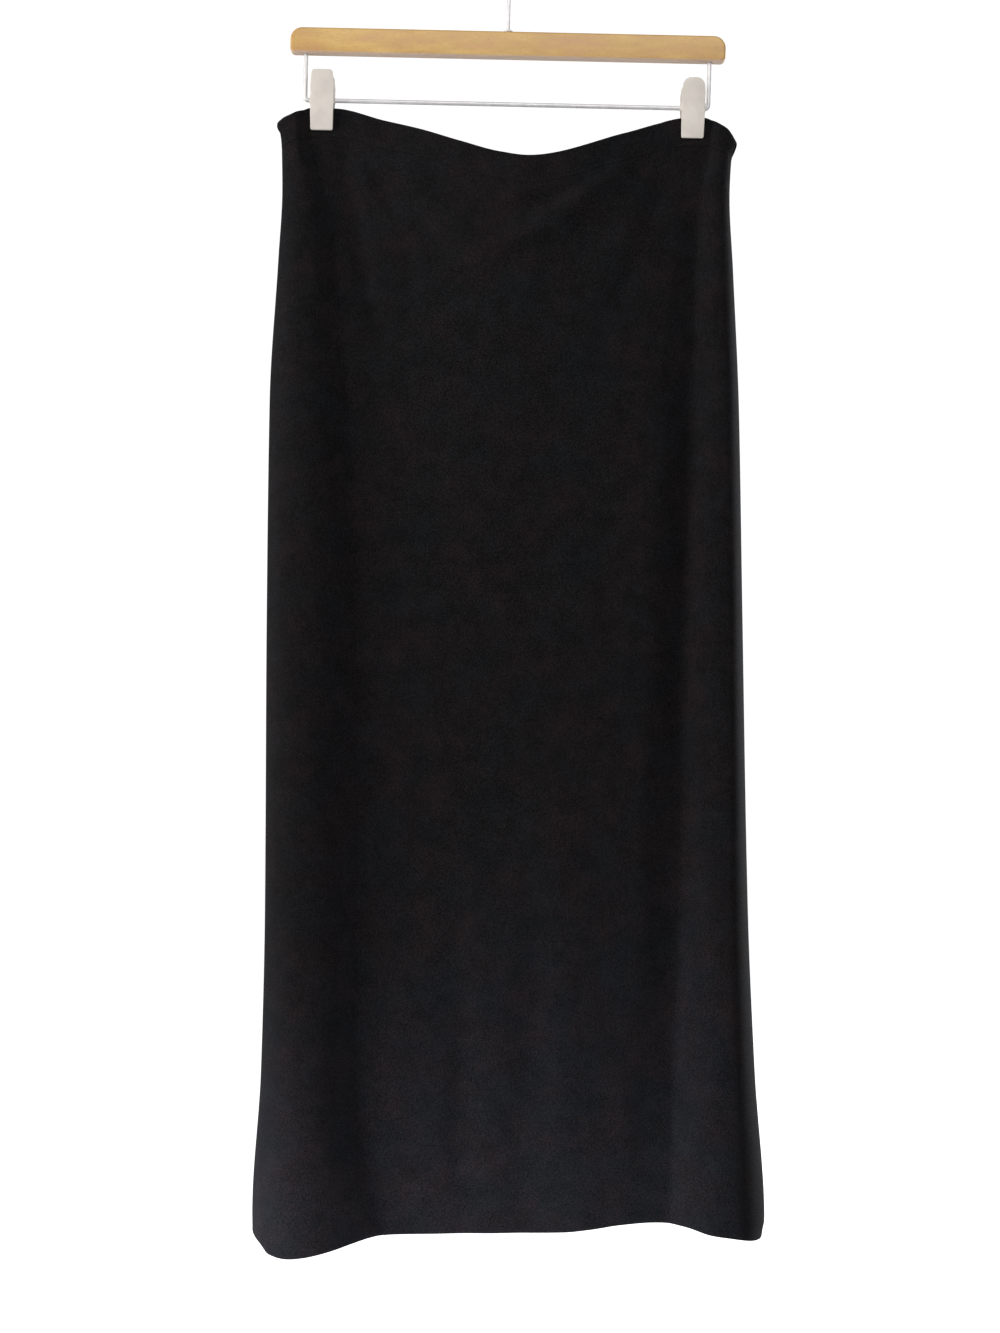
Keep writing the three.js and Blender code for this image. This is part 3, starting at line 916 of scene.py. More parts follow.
@dataclass(frozen=True)
class Crease:
    """One pull, swag or fold, along a curve from one point by a second to a third.

    Points are across and down from the waist level. A rise below zero is a trough.
    """

    name: str
    start: tuple[float, float]
    by: tuple[float, float]
    end: tuple[float, float]
    width: float
    rise: float
    steps: int = 48

    def lift(self, x: np.ndarray, drop: np.ndarray) -> np.ndarray:
        """How far it lifts the cloth, fading towards both of its ends.

        Args:
            x: Places across.
            drop: Places down.

        Returns:
            The lift, in millimetres.
        """
        share = np.linspace(0, 1, self.steps + 1)[:, None]
        start, by, end = (np.array(point, float) for point in (self.start, self.by, self.end))
        pull = 2 * by - (start + end) / 2
        line = start * (1 - share) ** 2 + 2 * pull * share * (1 - share) + end * share**2
        distance = np.full(x.shape, np.inf)
        nearest = np.zeros(x.shape)
        for step, (across, down) in enumerate(line):
            here = np.hypot(x - across, drop - down)
            nearest = np.where(here < distance, step / self.steps, nearest)
            distance = np.minimum(distance, here)
        fade = np.sin(np.pi * (0.1 + 0.8 * nearest))
        return self.rise * fade * np.exp(-((distance / self.width) ** 2))


FRONT_CREASES = (
    Crease("left pull", (-149, 34), (-132, 127), (-114, 217), 8, -3),
    Crease("second left pull", (-142, 26), (-101, 98), (-81, 199), 9, -1.8),
    Crease("swag", (106, 36), (-3, 123), (-83, 59), 10, 3.6),
    Crease("swag hollow", (80, 44), (-3, 96), (-72, 55), 9, -3),
    Crease("lower swag hollow", (113, 55), (75, 119), (23, 178), 10, -2.6),
    Crease("right pull", (137, 50), (118, 107), (72, 230), 10, -2.6),
    Crease("left hem fold", (-52, 690), (-44, 830), (-40, 1010), 17, -2.6),
    Crease("middle hem fold", (22, 740), (14, 850), (6, 1000), 15, -2.1),
    Crease("middle hem crest", (48, 620), (50, 780), (58, 1000), 20, 2.2),
)
BACK_CREASES = (
    Crease("left pull", (-147, 34), (-122, 120), (-96, 232), 9, -2.8),
    Crease("swag", (88, 50), (8, 118), (-92, 48), 11, 3.2),
    Crease("swag hollow", (74, 46), (8, 90), (-76, 46), 9, -2.6),
    Crease("right pull", (146, 42), (128, 120), (112, 240), 9, -2.8),
    Crease("left hem crest", (-60, 560), (-50, 780), (-44, 1080), 22, 4),
    Crease("middle hem fold", (8, 640), (14, 820), (24, 1080), 18, -4.5),
    Crease("right hem crest", (84, 700), (80, 860), (72, 1070), 18, 3.5),
)
# Finer creases than the solids hold
FRONT_FINE_CREASES = (
    Crease("streak under the left clip", (-141, 30), (-118, 78), (-98, 122), 5, 0.9),
    Crease("short pull beside it", (-120, 40), (-88, 92), (-62, 132), 6, -0.8),
    Crease("low swag line", (60, 96), (4, 136), (-58, 112), 7, 0.9),
    Crease("pull right of the swag", (126, 46), (102, 88), (62, 122), 6, 0.8),
    Crease("pull over the right hip", (150, 60), (141, 150), (126, 262), 6, 0.9),
    Crease("faint hip drag", (-96, 232), (-70, 318), (-62, 410), 10, -0.7),
    Crease("faint middle drag", (38, 250), (22, 360), (20, 470), 12, -0.6),
    Crease("right body drag", (96, 300), (84, 420), (88, 560), 11, -0.7),
    Crease("left body drag", (-88, 430), (-92, 560), (-84, 700), 12, 0.7),
    Crease("hem ripple light", (-56, 800), (-56, 880), (-60, 950), 7, 0.6),
    Crease("hem ripple dark", (-42, 790), (-43, 850), (-46, 930), 6, -0.6),
    Crease("middle ripple light", (-2, 700), (-5, 770), (-2, 850), 7, 0.6),
    Crease("middle ripple dark", (24, 700), (23, 770), (20, 850), 7, -0.6),
    Crease("short hem ripple", (-20, 850), (-21, 890), (-20, 940), 5, 0.6),
    Crease("right hem ripple", (104, 760), (108, 860), (112, 980), 12, -0.8),
    Crease("left roll dent", (-190, 300), (-186, 380), (-190, 470), 9, -0.8),
    Crease("long hollow by the right roll", (168, 60), (158, 300), (146, 570), 9, -3.0),
    Crease("long crest beside it", (142, 100), (132, 330), (124, 570), 13, 2.6),
    Crease("bright swag on the right", (114, 38), (34, 102), (-24, 126), 9, 1.9),
    Crease("hollow under the bright swag", (120, 64), (48, 126), (-14, 150), 10, -1.5),
    Crease("crest beside the left pull", (-136, 40), (-118, 130), (-96, 235), 7, 1.5),
)
BACK_FINE_CREASES = (
    Crease("streak under the left clip", (-139, 32), (-112, 84), (-90, 130), 5, 0.9),
    Crease("low swag line", (66, 98), (8, 132), (-64, 106), 7, 0.8),
    Crease("pull right of the swag", (128, 50), (106, 92), (70, 130), 6, -0.8),
    Crease("faint hip drag", (96, 240), (82, 330), (70, 420), 10, -0.8),
    Crease("left body drag", (-84, 330), (-72, 460), (-76, 600), 12, -0.8),
    Crease("middle drag", (20, 380), (6, 480), (12, 600), 12, 0.7),
    Crease("left hem ripple", (-96, 800), (-92, 880), (-96, 960), 8, -1.2),
    Crease("middle hem ripple", (40, 790), (44, 870), (42, 950), 7, 1.1),
    Crease("right hem ripple", (112, 760), (118, 860), (120, 970), 10, -1.0),
)


def roll_depth(
    x: np.ndarray, seam: float, roll: tuple[float, float], hollow: tuple[float, float]
) -> np.ndarray:
    """The depth between a side seam and the hollow beyond its roll.

    Args:
        x: Places across.
        seam: Where the side seam is.
        roll: The roll's crest, as its place and depth.
        hollow: The hollow beyond it, as its place and depth.

    Returns:
        The depth at each place.
    """
    half_gap = SEAM_GAP / 2
    (crest, height), (foot, low) = roll, hollow
    outer = np.clip((x - crest) / (seam - crest), 0, 1)
    inner = np.clip((x - crest) / (foot - crest), 0, 1)
    to_seam = half_gap + (height - half_gap) * np.sqrt(1 - outer**2)
    to_hollow = low + (height - low) * (1 - inner**ROLL_SWEEP) ** ROLL_FOOT
    return np.where((x - crest) * (seam - crest) > 0, to_seam, to_hollow)


@dataclass(frozen=True)
class PanelShape:
    """The outside of one panel: its depths, its edges and the creases that cross it."""

    facing: Facing
    depths: Table
    waist: Table
    hem: Table
    creases: tuple[Crease, ...]
    seed: int
    waves: tuple[tuple[float, float, float], ...] = ((70, 150, 0.55), (34, 80, 0.22), (15, 30, 0.07))
    smooth_below_casing: float = 14.0
    samples: int = 600

    def depth_across(self, below: float, x: np.ndarray) -> np.ndarray:
        """How far the outside stands off the middle plane along one row.

        Args:
            below: The row's distance below the waist edge.
            x: Places across.

        Returns:
            The depths.
        """
        line, deep = LINES.row(below), self.depths.row(below)
        left, right, pinch = line["leftFold"], line["rightFold"], line["pinch"]
        keys = (left - pinch, left + pinch, line["centre"], line["shoulder"], right - pinch, right + pinch)
        values = (deep["fold"], deep["fold"], deep["centre"], deep["shoulder"], deep["fold"], deep["fold"])
        middle = smooth_at(np.array(keys), np.array(values), x)
        left_roll = (line["leftRoll"], deep["leftRoll"])
        right_roll = (line["rightRoll"], deep["rightRoll"])
        left_side = roll_depth(x, line["leftSeam"], left_roll, (keys[0], values[0]))
        right_side = roll_depth(x, line["rightSeam"], right_roll, (keys[-1], values[-1]))
        return np.where(x < keys[0], left_side, np.where(x > keys[-1], right_side, middle))

    def row(self, below: float, shares: np.ndarray) -> tuple[np.ndarray, np.ndarray, np.ndarray]:
        """Points along one row, from the left seam to the right one.

        Args:
            below: The row's distance below the waist edge.
            shares: Shares of the row's length.

        Returns:
            The points' places across, their depths, and their places along the flat cloth.
        """
        line = LINES.row(below)
        left, right = line["leftSeam"], line["rightSeam"]
        turn = np.linspace(0, np.pi, self.samples + 1)
        x = left + (right - left) * (1 - np.cos(turn)) / 2
        depth = self.depth_across(below, x)
        along = np.concatenate([[0], np.cumsum(np.hypot(np.diff(x), np.diff(depth)))])
        want = shares * along[-1]
        return np.interp(want, along, x), np.interp(want, along, depth), want - along[-1] / 2

    def outside(self, belows: np.ndarray, shares: np.ndarray) -> tuple[np.ndarray, np.ndarray]:
        """The panel's outside.

        Args:
            belows: Each row's distance below the waist edge.
            shares: Each column's share of a row's length.

        Returns:
            The points, rows x columns x 3, and their places on the flat cloth, rows x columns x 2.
        """
        rows = [self.row(float(below), shares) for below in belows]
        x, depth, flat = (np.array(part) for part in zip(*rows))
        below = np.broadcast_to(belows[:, None], x.shape)
        top, bottom = self.waist.read("drop", x), self.hem.read("drop", x)
        drop = top + (bottom - top) * below / LENGTH
        free = ease(np.clip((below - BAND_HEIGHT) / self.smooth_below_casing, 0, 1))
        lift = sum(crease.lift(x, drop) for crease in self.creases)
        for number, (across, down, height) in enumerate(self.waves):
            lift = lift + height * soft_noise(flat, below, (across, down), self.seed + number)
        depth = np.maximum(GRIP, depth + lift * free)
        at_seam = np.minimum(shares, 1 - shares) < 1e-9
        depth = np.where(at_seam, SEAM_GAP / 2, depth)
        points = np.stack([x, self.facing.value * depth, WAIST_LEVEL - drop], axis=-1)
        return points, np.stack([flat, -below], axis=-1)

    def inside(self, outside: np.ndarray, wall: np.ndarray | float) -> np.ndarray:
        """The panel's inside, which meets the other panel's along the side seams.

        Args:
            outside: Points, rows x columns x 3.
            wall: The wall's thickness.

        Returns:
            A point for each of the outside's.
        """
        points = outside + self.inward(outside) * wall
        points[:, (0, -1), 1] = self.facing.value * SEAM_TOUCH
        return points

    def inward(self, outside: np.ndarray) -> np.ndarray:
        """The level way inwards at each point of the outside.

        Args:
            outside: Points, rows x columns x 3.

        Returns:
            A unit vector for each point.
        """
        along = np.gradient(outside, axis=1)
        sign = self.facing.value
        way = np.stack([sign * along[..., 1], -sign * along[..., 0], np.zeros(along.shape[:2])], axis=-1)
        way[:, 0] = (1, 0, 0)
        way[:, -1] = (-1, 0, 0)
        return way / np.linalg.norm(way, axis=-1, keepdims=True)


FRONT_PANEL = PanelShape(
    Facing.FRONT, FRONT_DEPTHS, FRONT_WAIST, FRONT_HEM, FRONT_CREASES + FRONT_FINE_CREASES, 11
)
BACK_PANEL = PanelShape(
    Facing.BACK, BACK_DEPTHS, BACK_WAIST, BACK_HEM, BACK_CREASES + BACK_FINE_CREASES, 29
)


@dataclass
class ClothWall:
    """A closed wall of cloth between two matching grids of points, with rounded folded edges."""

    facing: Facing
    outside: np.ndarray
    inside: np.ndarray
    flat: np.ndarray
    reach: float
    fold_steps: int = 4
    squareness: float = 0.45

    def fold(self, row: int, before: int, outer_first: bool) -> np.ndarray:
        """The half round that folds the wall over at one edge.

        Args:
            row: The edge's row.
            before: The row next to it.
            outer_first: Whether the fold runs from the outside to the inside.

        Returns:
            The rows of the fold.
        """
        middle = (self.outside[row] + self.inside[row]) / 2
        half = (self.outside[row] - self.inside[row]) / 2
        on = self.outside[row] - self.outside[before]
        on /= np.linalg.norm(on, axis=-1, keepdims=True)
        angles = np.linspace(0, np.pi, self.fold_steps + 2)[1:-1]
        across = np.sign(np.cos(angles)) * np.abs(np.cos(angles)) ** self.squareness
        out = self.reach * np.sin(angles) ** self.squareness
        rows = [middle + half * a + on * o for a, o in zip(across, out)]
        return np.array(rows if outer_first else rows[::-1])

    @staticmethod
    def skin(numbers: np.ndarray) -> list[tuple[int, ...]]:
        """Faces round the wall: down its outside, over the lower fold, up its inside and over again.

        Args:
            numbers: The vertices' numbers, rows x columns.

        Returns:
            The faces.
        """
        after = np.roll(numbers, -1, axis=0)
        quads = np.stack([numbers[:, :-1], after[:, :-1], after[:, 1:], numbers[:, 1:]], axis=-1)
        return [tuple(quad) for quad in quads.reshape(-1, 4).tolist()]

    def side_edge(self, edge: list[int]) -> list[tuple[int, ...]]:
        """Faces that close the wall along its left side edge.

        Args:
            edge: The numbers of the edge's vertices, round the wall.

        Returns:
            The faces, which are outward ones there and inward ones on the right.
        """
        rows = len(self.outside)
        inner_top = len(edge) - 1 - self.fold_steps
        inner_foot = inner_top - rows + 1
        caps = [
            (edge[row], edge[inner_top - row], edge[inner_top - row - 1], edge[row + 1])
            for row in range(rows - 1)
        ]
        caps.append((edge[rows - 1], *reversed(edge[rows : inner_foot + 1])))
        caps.append((edge[inner_top], edge[0], *reversed(edge[inner_top + 1 :])))
        return caps

    def piece(self, name: str, material: bpy.types.Material) -> bpy.types.Object:
        """Makes the wall's mesh.

        Args:
            name: The piece's name.
            material: Its finish.

        Returns:
            The object.
        """
        low, high = self.fold(-1, -2, True), self.fold(0, 1, False)
        points = np.concatenate([self.outside, low, self.inside[::-1], high])
        foot = np.repeat(self.flat[-1:], self.fold_steps, axis=0)
        top = np.repeat(self.flat[:1], self.fold_steps, axis=0)
        flat = np.concatenate([self.flat, foot, self.flat[::-1], top])
        numbers = np.arange(flat.shape[0] * flat.shape[1]).reshape(flat.shape[:2])
        faces = self.skin(numbers)
        faces.extend(self.side_edge(numbers[:, 0].tolist()))
        faces.extend(cap[::-1] for cap in self.side_edge(numbers[:, -1].tolist()))
        if self.facing is Facing.BACK:
            faces = [face[::-1] for face in faces]
        return make_piece(name, points, faces, material, flat)


# Threads, made along paths by Geometry Nodes


class ThreadMaker:
    """Lays threads and rows of stitches along paths, with a node tree for each."""

    def __init__(self, material: bpy.types.Material) -> None:
        """Builds both trees.

        Args:
            material: The thread's finish.
        """
        self.material = material
        self.thread = self.thread_tree()
        self.stitches = self.stitch_tree()

    @staticmethod
    def start(name: str, sizes: dict[str, float]) -> tuple[bpy.types.NodeTree, bpy.types.Node]:
        """Starts a tree with a named input for each size.

        Args:
            name: The tree's name.
            sizes: Each size's name and usual value, in metres.

        Returns:
            The tree and its input node.
        """
        tree = bpy.data.node_groups.new(name, "GeometryNodeTree")
        face = tree.interface
        face.new_socket("Geometry", in_out="INPUT", socket_type="NodeSocketGeometry")
        for size, usual in sizes.items():
            face.new_socket(size, in_out="INPUT", socket_type="NodeSocketFloat").default_value = usual
        face.new_socket("Thread", in_out="INPUT", socket_type="NodeSocketMaterial")
        face.new_socket("Geometry", in_out="OUTPUT", socket_type="NodeSocketGeometry")
        return tree, tree.nodes.new("NodeGroupInput")

    @staticmethod
    def end(tree: bpy.types.NodeTree, made: bpy.types.NodeSocket, given: bpy.types.Node) -> None:
        """Ends a tree in Realize Instances and Set Material.

        Args:
            tree: The tree.
            made: The geometry to end with.
            given: The tree's input node.
        """
        smooth = tree.nodes.new("GeometryNodeSetShadeSmooth")
        real = tree.nodes.new("GeometryNodeRealizeInstances")
        dress = tree.nodes.new("GeometryNodeSetMaterial")
        out = tree.nodes.new("NodeGroupOutput")
        link = tree.links.new
        link(made, smooth.inputs["Geometry"])
        link(smooth.outputs[0], real.inputs[0])
        link(real.outputs[0], dress.inputs["Geometry"])
        link(given.outputs["Thread"], dress.inputs["Material"])
        link(dress.outputs[0], out.inputs[0])

    def thread_tree(self) -> bpy.types.NodeTree:
        """Builds the tree that lays one thread along a path.

        Returns:
            The tree.
        """
        tree, given = self.start("thread along a path", {"Radius": 0.2 * MM})
        curve = tree.nodes.new("GeometryNodeMeshToCurve")
        ring = tree.nodes.new("GeometryNodeCurvePrimitiveCircle")
        ring.inputs["Resolution"].default_value = 5
        sweep = tree.nodes.new("GeometryNodeCurveToMesh")
        sweep.inputs["Fill Caps"].default_value = True
        link = tree.links.new
        link(given.outputs["Geometry"], curve.inputs["Mesh"])
        link(given.outputs["Radius"], ring.inputs["Radius"])
        link(curve.outputs[0], sweep.inputs["Curve"])
        link(ring.outputs[0], sweep.inputs["Profile Curve"])
        self.end(tree, sweep.outputs[0], given)
        return tree

    def stitch_tree(self) -> bpy.types.NodeTree:
        """Builds the tree that lays separate stitches end to end along a path.

        Returns:
            The tree.
        """
        sizes = {"Pitch": 2.6 * MM, "Length": 2.1 * MM, "Radius": 0.2 * MM}
        tree, given = self.start("row of stitches", sizes)
        curve = tree.nodes.new("GeometryNodeMeshToCurve")
        spots = tree.nodes.new("GeometryNodeCurveToPoints")
        spots.mode = "LENGTH"
        bead = tree.nodes.new("GeometryNodeMeshUVSphere")
        bead.inputs["Segments"].default_value = 6
        bead.inputs["Rings"].default_value = 5
        bead.inputs["Radius"].default_value = 1.0
        half = tree.nodes.new("ShaderNodeMath")
        half.operation = "MULTIPLY"
        half.inputs[1].default_value = 0.5
        size = tree.nodes.new("ShaderNodeCombineXYZ")
        aim = tree.nodes.new("FunctionNodeAlignRotationToVector")
        aim.axis = "X"
        lay = tree.nodes.new("GeometryNodeInstanceOnPoints")
        link = tree.links.new
        link(given.outputs["Geometry"], curve.inputs["Mesh"])
        link(curve.outputs[0], spots.inputs["Curve"])
        link(given.outputs["Pitch"], spots.inputs["Length"])
        link(given.outputs["Length"], half.inputs[0])
        link(half.outputs[0], size.inputs["X"])
        link(given.outputs["Radius"], size.inputs["Y"])
        link(given.outputs["Radius"], size.inputs["Z"])
        link(spots.outputs["Tangent"], aim.inputs["Vector"])
        link(spots.outputs["Points"], lay.inputs["Points"])
        link(bead.outputs["Mesh"], lay.inputs["Instance"])
        link(aim.outputs[0], lay.inputs["Rotation"])
        link(size.outputs[0], lay.inputs["Scale"])
        self.end(tree, lay.outputs[0], given)
        return tree

    def lay(
        self, name: str, tree: bpy.types.NodeTree, paths: Sequence[np.ndarray], **sizes: float
    ) -> bpy.types.Object:
        """Runs a tree along paths and keeps the result as a plain mesh.

        Args:
            name: The piece's name.
            tree: One of the two trees.
            paths: Each path's points, in millimetres.
            sizes: The tree's sizes by name, in millimetres.

        Returns:
            The object.
        """
        points, edges = [], []
        for path in paths:
            first, last = len(points), len(points) + len(path) - 1
            points.extend((path * MM).tolist())
            edges.extend(zip(range(first, last), range(first + 1, last + 1)))
        carrier_mesh = bpy.data.meshes.new(name + "_path")
        carrier_mesh.from_pydata(points, edges, [])
        carrier = bpy.data.objects.new(name + "_path", carrier_mesh)
        bpy.context.scene.collection.objects.link(carrier)
        modifier = carrier.modifiers.new("thread", "NODES")
        modifier.node_group = tree
        sockets = {s.name: s.identifier for s in tree.interface.items_tree if s.in_out == "INPUT"}
        modifier[sockets["Thread"]] = self.material
        for size, value in sizes.items():
            modifier[sockets[size]] = value * MM
        graph = bpy.context.evaluated_depsgraph_get()
        mesh = bpy.data.meshes.new_from_object(carrier.evaluated_get(graph))
        carrier.modifiers.clear()
        bpy.data.objects.remove(carrier)
        piece = bpy.data.objects.new(name, mesh)
        bpy.context.scene.collection.objects.link(piece)
        return piece


# The skirt


@dataclass
class Skirt:
    """The skirt: two body panels, the elastic casing in two halves, and the sewing inside."""

    jersey: bpy.types.Material
    threads: ThreadMaker
    panels: tuple[PanelShape, PanelShape] = (FRONT_PANEL, BACK_PANEL)
    # How many points each piece has, and how much closer they are at the sides and the waist
    columns: int = 172
    rows: int = 214
    band_columns: int = 340
    band_rows: int = 15
    side_crowding: float = 0.35
    top_crowding: float = 0.28
    # How far a folded edge reaches, and the step where the turned-up hem ends
    body_lip: float = 0.25
    band_lip: float = 0.4
    band_folds: int = 6
    hem_step: float = 0.5
    hem_step_room: float = 1.5
    # The slight gathers of the casing
    pucker: float = 0.22
    gather: float = 5.5
    gather_length: float = 60.0
    least_gather: float = 0.4
    gather_seed: int = 50
    # The allowance under the casing: its levels, and its depths behind the outside
    allowance: float = 7.0
    allowance_top: float = 0.7
    allowance_rows: int = 6
    allowance_ends: int = 2
    allowance_depths: tuple[float, float] = (JERSEY + 0.15, 2.3)
    # The side allowances: their ends, and their outline as width and thickness
    side_top: float = 9.0
    side_end: float = 2.0
    side_rows: int = 150
    side_width: float = 8.0
    side_outline: tuple[tuple[float, float], ...] = (
        (1.2, -0.8), (1.2, 0.8), (4.0, 0.85), (7.6, 0.8), (8.0, 0.0), (7.6, -0.8), (4.0, -0.85),
    )
    side_edge: int = 4
    sway: float = 34.0
    sway_seed: int = 71
    # Overlock threads: loops at the sides, zigzags along the casing and the hem
    overlock_step: float = 0.9
    overlock_loop: tuple[tuple[float, float], ...] = ((-3.2, -1.1), (0.2, -0.5), (0.2, 0.5), (-3.2, 1.1))
    zigzags: int = 560
    zigzag_ends: tuple[float, float] = (0.012, 0.988)
    casing_zigzag: tuple[tuple[float, float], ...] = ((-3.4, 2.5), (0.6, 1.6))
    hem_zigzag: tuple[tuple[float, float], ...] = ((3.0, 2 * JERSEY + 0.3), (-1.2, JERSEY + 0.2))
    thread: float = 0.2
    # The row of stitches above the lower edge of the casing
    stitch_line: float = 2.6
    stitch_depths: tuple[float, float] = (0.12, BAND_WALL + 0.02)
    stitch_ends: int = 3
    stitch_pitch: float = 2.7
    stitch_length: float = 2.2
    stitch_radius: float = 0.14
    stitch_columns: int = 360

    def shares(self, columns: int) -> np.ndarray:
        """Column places across a panel, closer at the side seams.

        Args:
            columns: How many columns there are.

        Returns:
            Each column line's share of the row.
        """
        even = np.linspace(0, 1, columns + 1)
        return even - self.side_crowding * np.sin(2 * np.pi * even) / (2 * np.pi)

    def body_rows(self) -> np.ndarray:
        """Row places down a panel, closer near the waist and doubled where the turned-up hem ends.

        Returns:
            Each row's distance below the waist edge.
        """
        top, bottom = BAND_HEIGHT + PRESSED + self.body_lip, LENGTH - self.body_lip
        even = np.linspace(0, 1, self.rows + 1)
        spread = top + (bottom - top) * ((1 - self.top_crowding) * even + self.top_crowding * even**2)
        turn = LENGTH - HEM_DEPTH
        clear = spread[np.abs(spread - turn) > self.hem_step_room]
        return np.sort(np.append(clear, (turn - self.hem_step, turn + self.hem_step)))

    def body_panel(self, shape: PanelShape) -> bpy.types.Object:
        """Makes one body panel with its hem turned up inside.

        Args:
            shape: The panel's shape.

        Returns:
            The panel.
        """
        side = shape.facing.word
        belows = self.body_rows()
        outside, flat = shape.outside(belows, self.shares(self.columns))
        turned = belows > LENGTH - HEM_DEPTH
        wall = np.where(turned, 2 * JERSEY + PRESSED, JERSEY)[:, None, None]
        cloth = ClothWall(shape.facing, outside, shape.inside(outside, wall), flat, self.body_lip)
        piece = cloth.piece(f"skirt_{side}_cloth", self.jersey)
        hand_over(piece, Slot.JERSEY, f"skirt_{side}")
        self.inner_threads(shape)
        return piece

    @staticmethod
    def flat_size(outside: np.ndarray) -> tuple[float, float]:
        """A panel's widest row and its flat area.

        Args:
            outside: Points, rows x columns x 3.

        Returns:
            The width in millimetres and the area in square metres.
        """
        widths = np.linalg.norm(np.diff(outside, axis=1), axis=-1).sum(axis=1)
        heights = np.linalg.norm(np.diff(outside, axis=0), axis=-1).mean(axis=1)
        area = float((heights * (widths[1:] + widths[:-1]) / 2).sum()) * MM * MM
        return float(widths.max()), area

    def waistband(self, shape: PanelShape) -> bpy.types.Object:
        """Makes one half of the elastic casing, slightly puckered.

        Args:
            shape: The panel's shape.

        Returns:
            The casing.
        """
        side = shape.facing.word
        belows = np.linspace(self.band_lip, BAND_HEIGHT - self.band_lip, self.band_rows)
        smooth, flat = shape.outside(belows, self.shares(self.band_columns))
        inside = shape.inside(smooth, BAND_WALL)
        seed = shape.seed + self.gather_seed
        gathers = np.abs(soft_noise(flat[..., 0], flat[..., 1], (self.gather, self.gather_length), seed))
        across = np.sin(np.pi * (belows - belows[0]) / (belows[-1] - belows[0]))[:, None]
        sink = self.pucker * gathers * (self.least_gather + (1 - self.least_gather) * across)
        outside = smooth + shape.inward(smooth) * sink[..., None]
        cloth = ClothWall(shape.facing, outside, inside, flat, self.band_lip, self.band_folds)
        piece = cloth.piece(f"waistband_{side}_cloth", self.jersey)
        hand_over(piece, Slot.WAISTBAND, f"waistband_{side}")
        self.casing_stitches(shape)
        return piece

    def waist_allowance(self, shape: PanelShape) -> bpy.types.Object:
        """Makes the overlocked allowance that hangs inside, below the casing's seam.

        Args:
            shape: The panel's shape.

        Returns:
            The strip.
        """
        side = shape.facing.word
        top, bottom = BAND_HEIGHT + self.allowance_top, BAND_HEIGHT + self.allowance
        shares = self.shares(self.columns)[self.allowance_ends : -self.allowance_ends]
        base, flat = shape.outside(np.linspace(top, bottom, self.allowance_rows), shares)
        inward = shape.inward(base)
        outside, inside = (base + inward * depth for depth in self.allowance_depths)
        cloth = ClothWall(shape.facing, outside, inside, flat, self.band_lip)
        piece = cloth.piece(f"waist_allowance_{side}", self.jersey)
        hand_over(piece, Slot.JERSEY)
        return piece

    def side_rings(self, hand: Hand, belows: np.ndarray) -> np.ndarray:
        """The outline of a side seam's allowance, level by level.

        Args:
            hand: Which side it is on.
            belows: Each level's distance below the waist edge.

        Returns:
            The points, levels x outline x 3.
        """
        seam = LINES.read(f"{hand.word}Seam", belows)
        top, bottom = FRONT_WAIST.read("drop", seam), FRONT_HEM.read("drop", seam)
        drop = top + (bottom - top) * belows / LENGTH
        swing = soft_noise(belows, belows, (self.sway, self.sway), self.sway_seed - hand.value)
        across, thick = np.array(self.side_outline).T
        rings = np.zeros((len(belows), len(across), 3))
        rings[..., 0] = seam[:, None] - hand.value * across
        rings[..., 1] = thick + swing[:, None] * (across / self.side_width) ** 2
        rings[..., 2] = (WAIST_LEVEL - drop)[:, None]
        return rings

    def side_seam(self, hand: Hand) -> bpy.types.Object:
        """Makes a side seam's allowance, which stands inside along the seam.

        Args:
            hand: Which side it is on.

        Returns:
            The strip.
        """
        top, bottom = BAND_HEIGHT + self.side_top, LENGTH - HEM_DEPTH - self.side_end
        belows = np.linspace(top, bottom, self.side_rows)
        rings = self.side_rings(hand, belows)
        across = np.broadcast_to([width for width, _ in self.side_outline], rings.shape[:2])
        down = np.broadcast_to(belows[:, None], rings.shape[:2])
        flat = np.stack([across, -down], axis=-1)
        if hand is Hand.LEFT:
            points, faces = loft(rings)
        else:
            points, faces = loft(rings[:, ::-1])
            flat = flat[:, ::-1]
        name = f"side_seam_{hand.word}"
        piece = make_piece(name, points, faces, self.jersey, flat)
        hand_over(piece, Slot.JERSEY)
        thread = self.overlock(f"{name}_thread", rings[:, self.side_edge], hand)
        return piece

    def overlock(self, name: str, edge: np.ndarray, hand: Hand) -> bpy.types.Object:
        """Wraps overlock threads round a side allowance's raw edge.

        Args:
            name: The piece's name.
            edge: Points along the edge.
            hand: Which side the seam is on.

        Returns:
            The threads.
        """
        along = np.concatenate([[0], np.cumsum(np.linalg.norm(np.diff(edge, axis=0), axis=1))])
        want = np.arange(0, along[-1], self.overlock_step)
        line = np.stack([np.interp(want, along, edge[:, axis]) for axis in range(3)], axis=-1)
        loop = np.array(self.overlock_loop)[np.arange(len(want)) % len(self.overlock_loop)]
        line[:, 0] -= hand.value * loop[:, 0]
        line[:, 1] += loop[:, 1]
        piece = self.threads.lay(name, self.threads.thread, [line], Radius=self.thread)
        return hand_over(piece, Slot.JERSEY)

    def zigzag(
        self, shape: PanelShape, edge: float, lines: tuple[tuple[float, float], ...]
    ) -> np.ndarray:
        """A thread's path to and fro over a raw edge inside a panel.

        Args:
            shape: The panel's shape.
            edge: The edge's distance below the waist edge.
            lines: The two lines that it runs between, each as its distance below the edge and its
                depth behind the panel's outside.

        Returns:
            The path's points.
        """
        belows, depths = np.array(lines).T
        grid, _ = shape.outside(edge + belows, np.linspace(*self.zigzag_ends, self.zigzags))
        both = grid + shape.inward(grid) * depths[:, None, None]
        spots = np.arange(self.zigzags)
        return both[(spots // 2) % 2, spots]

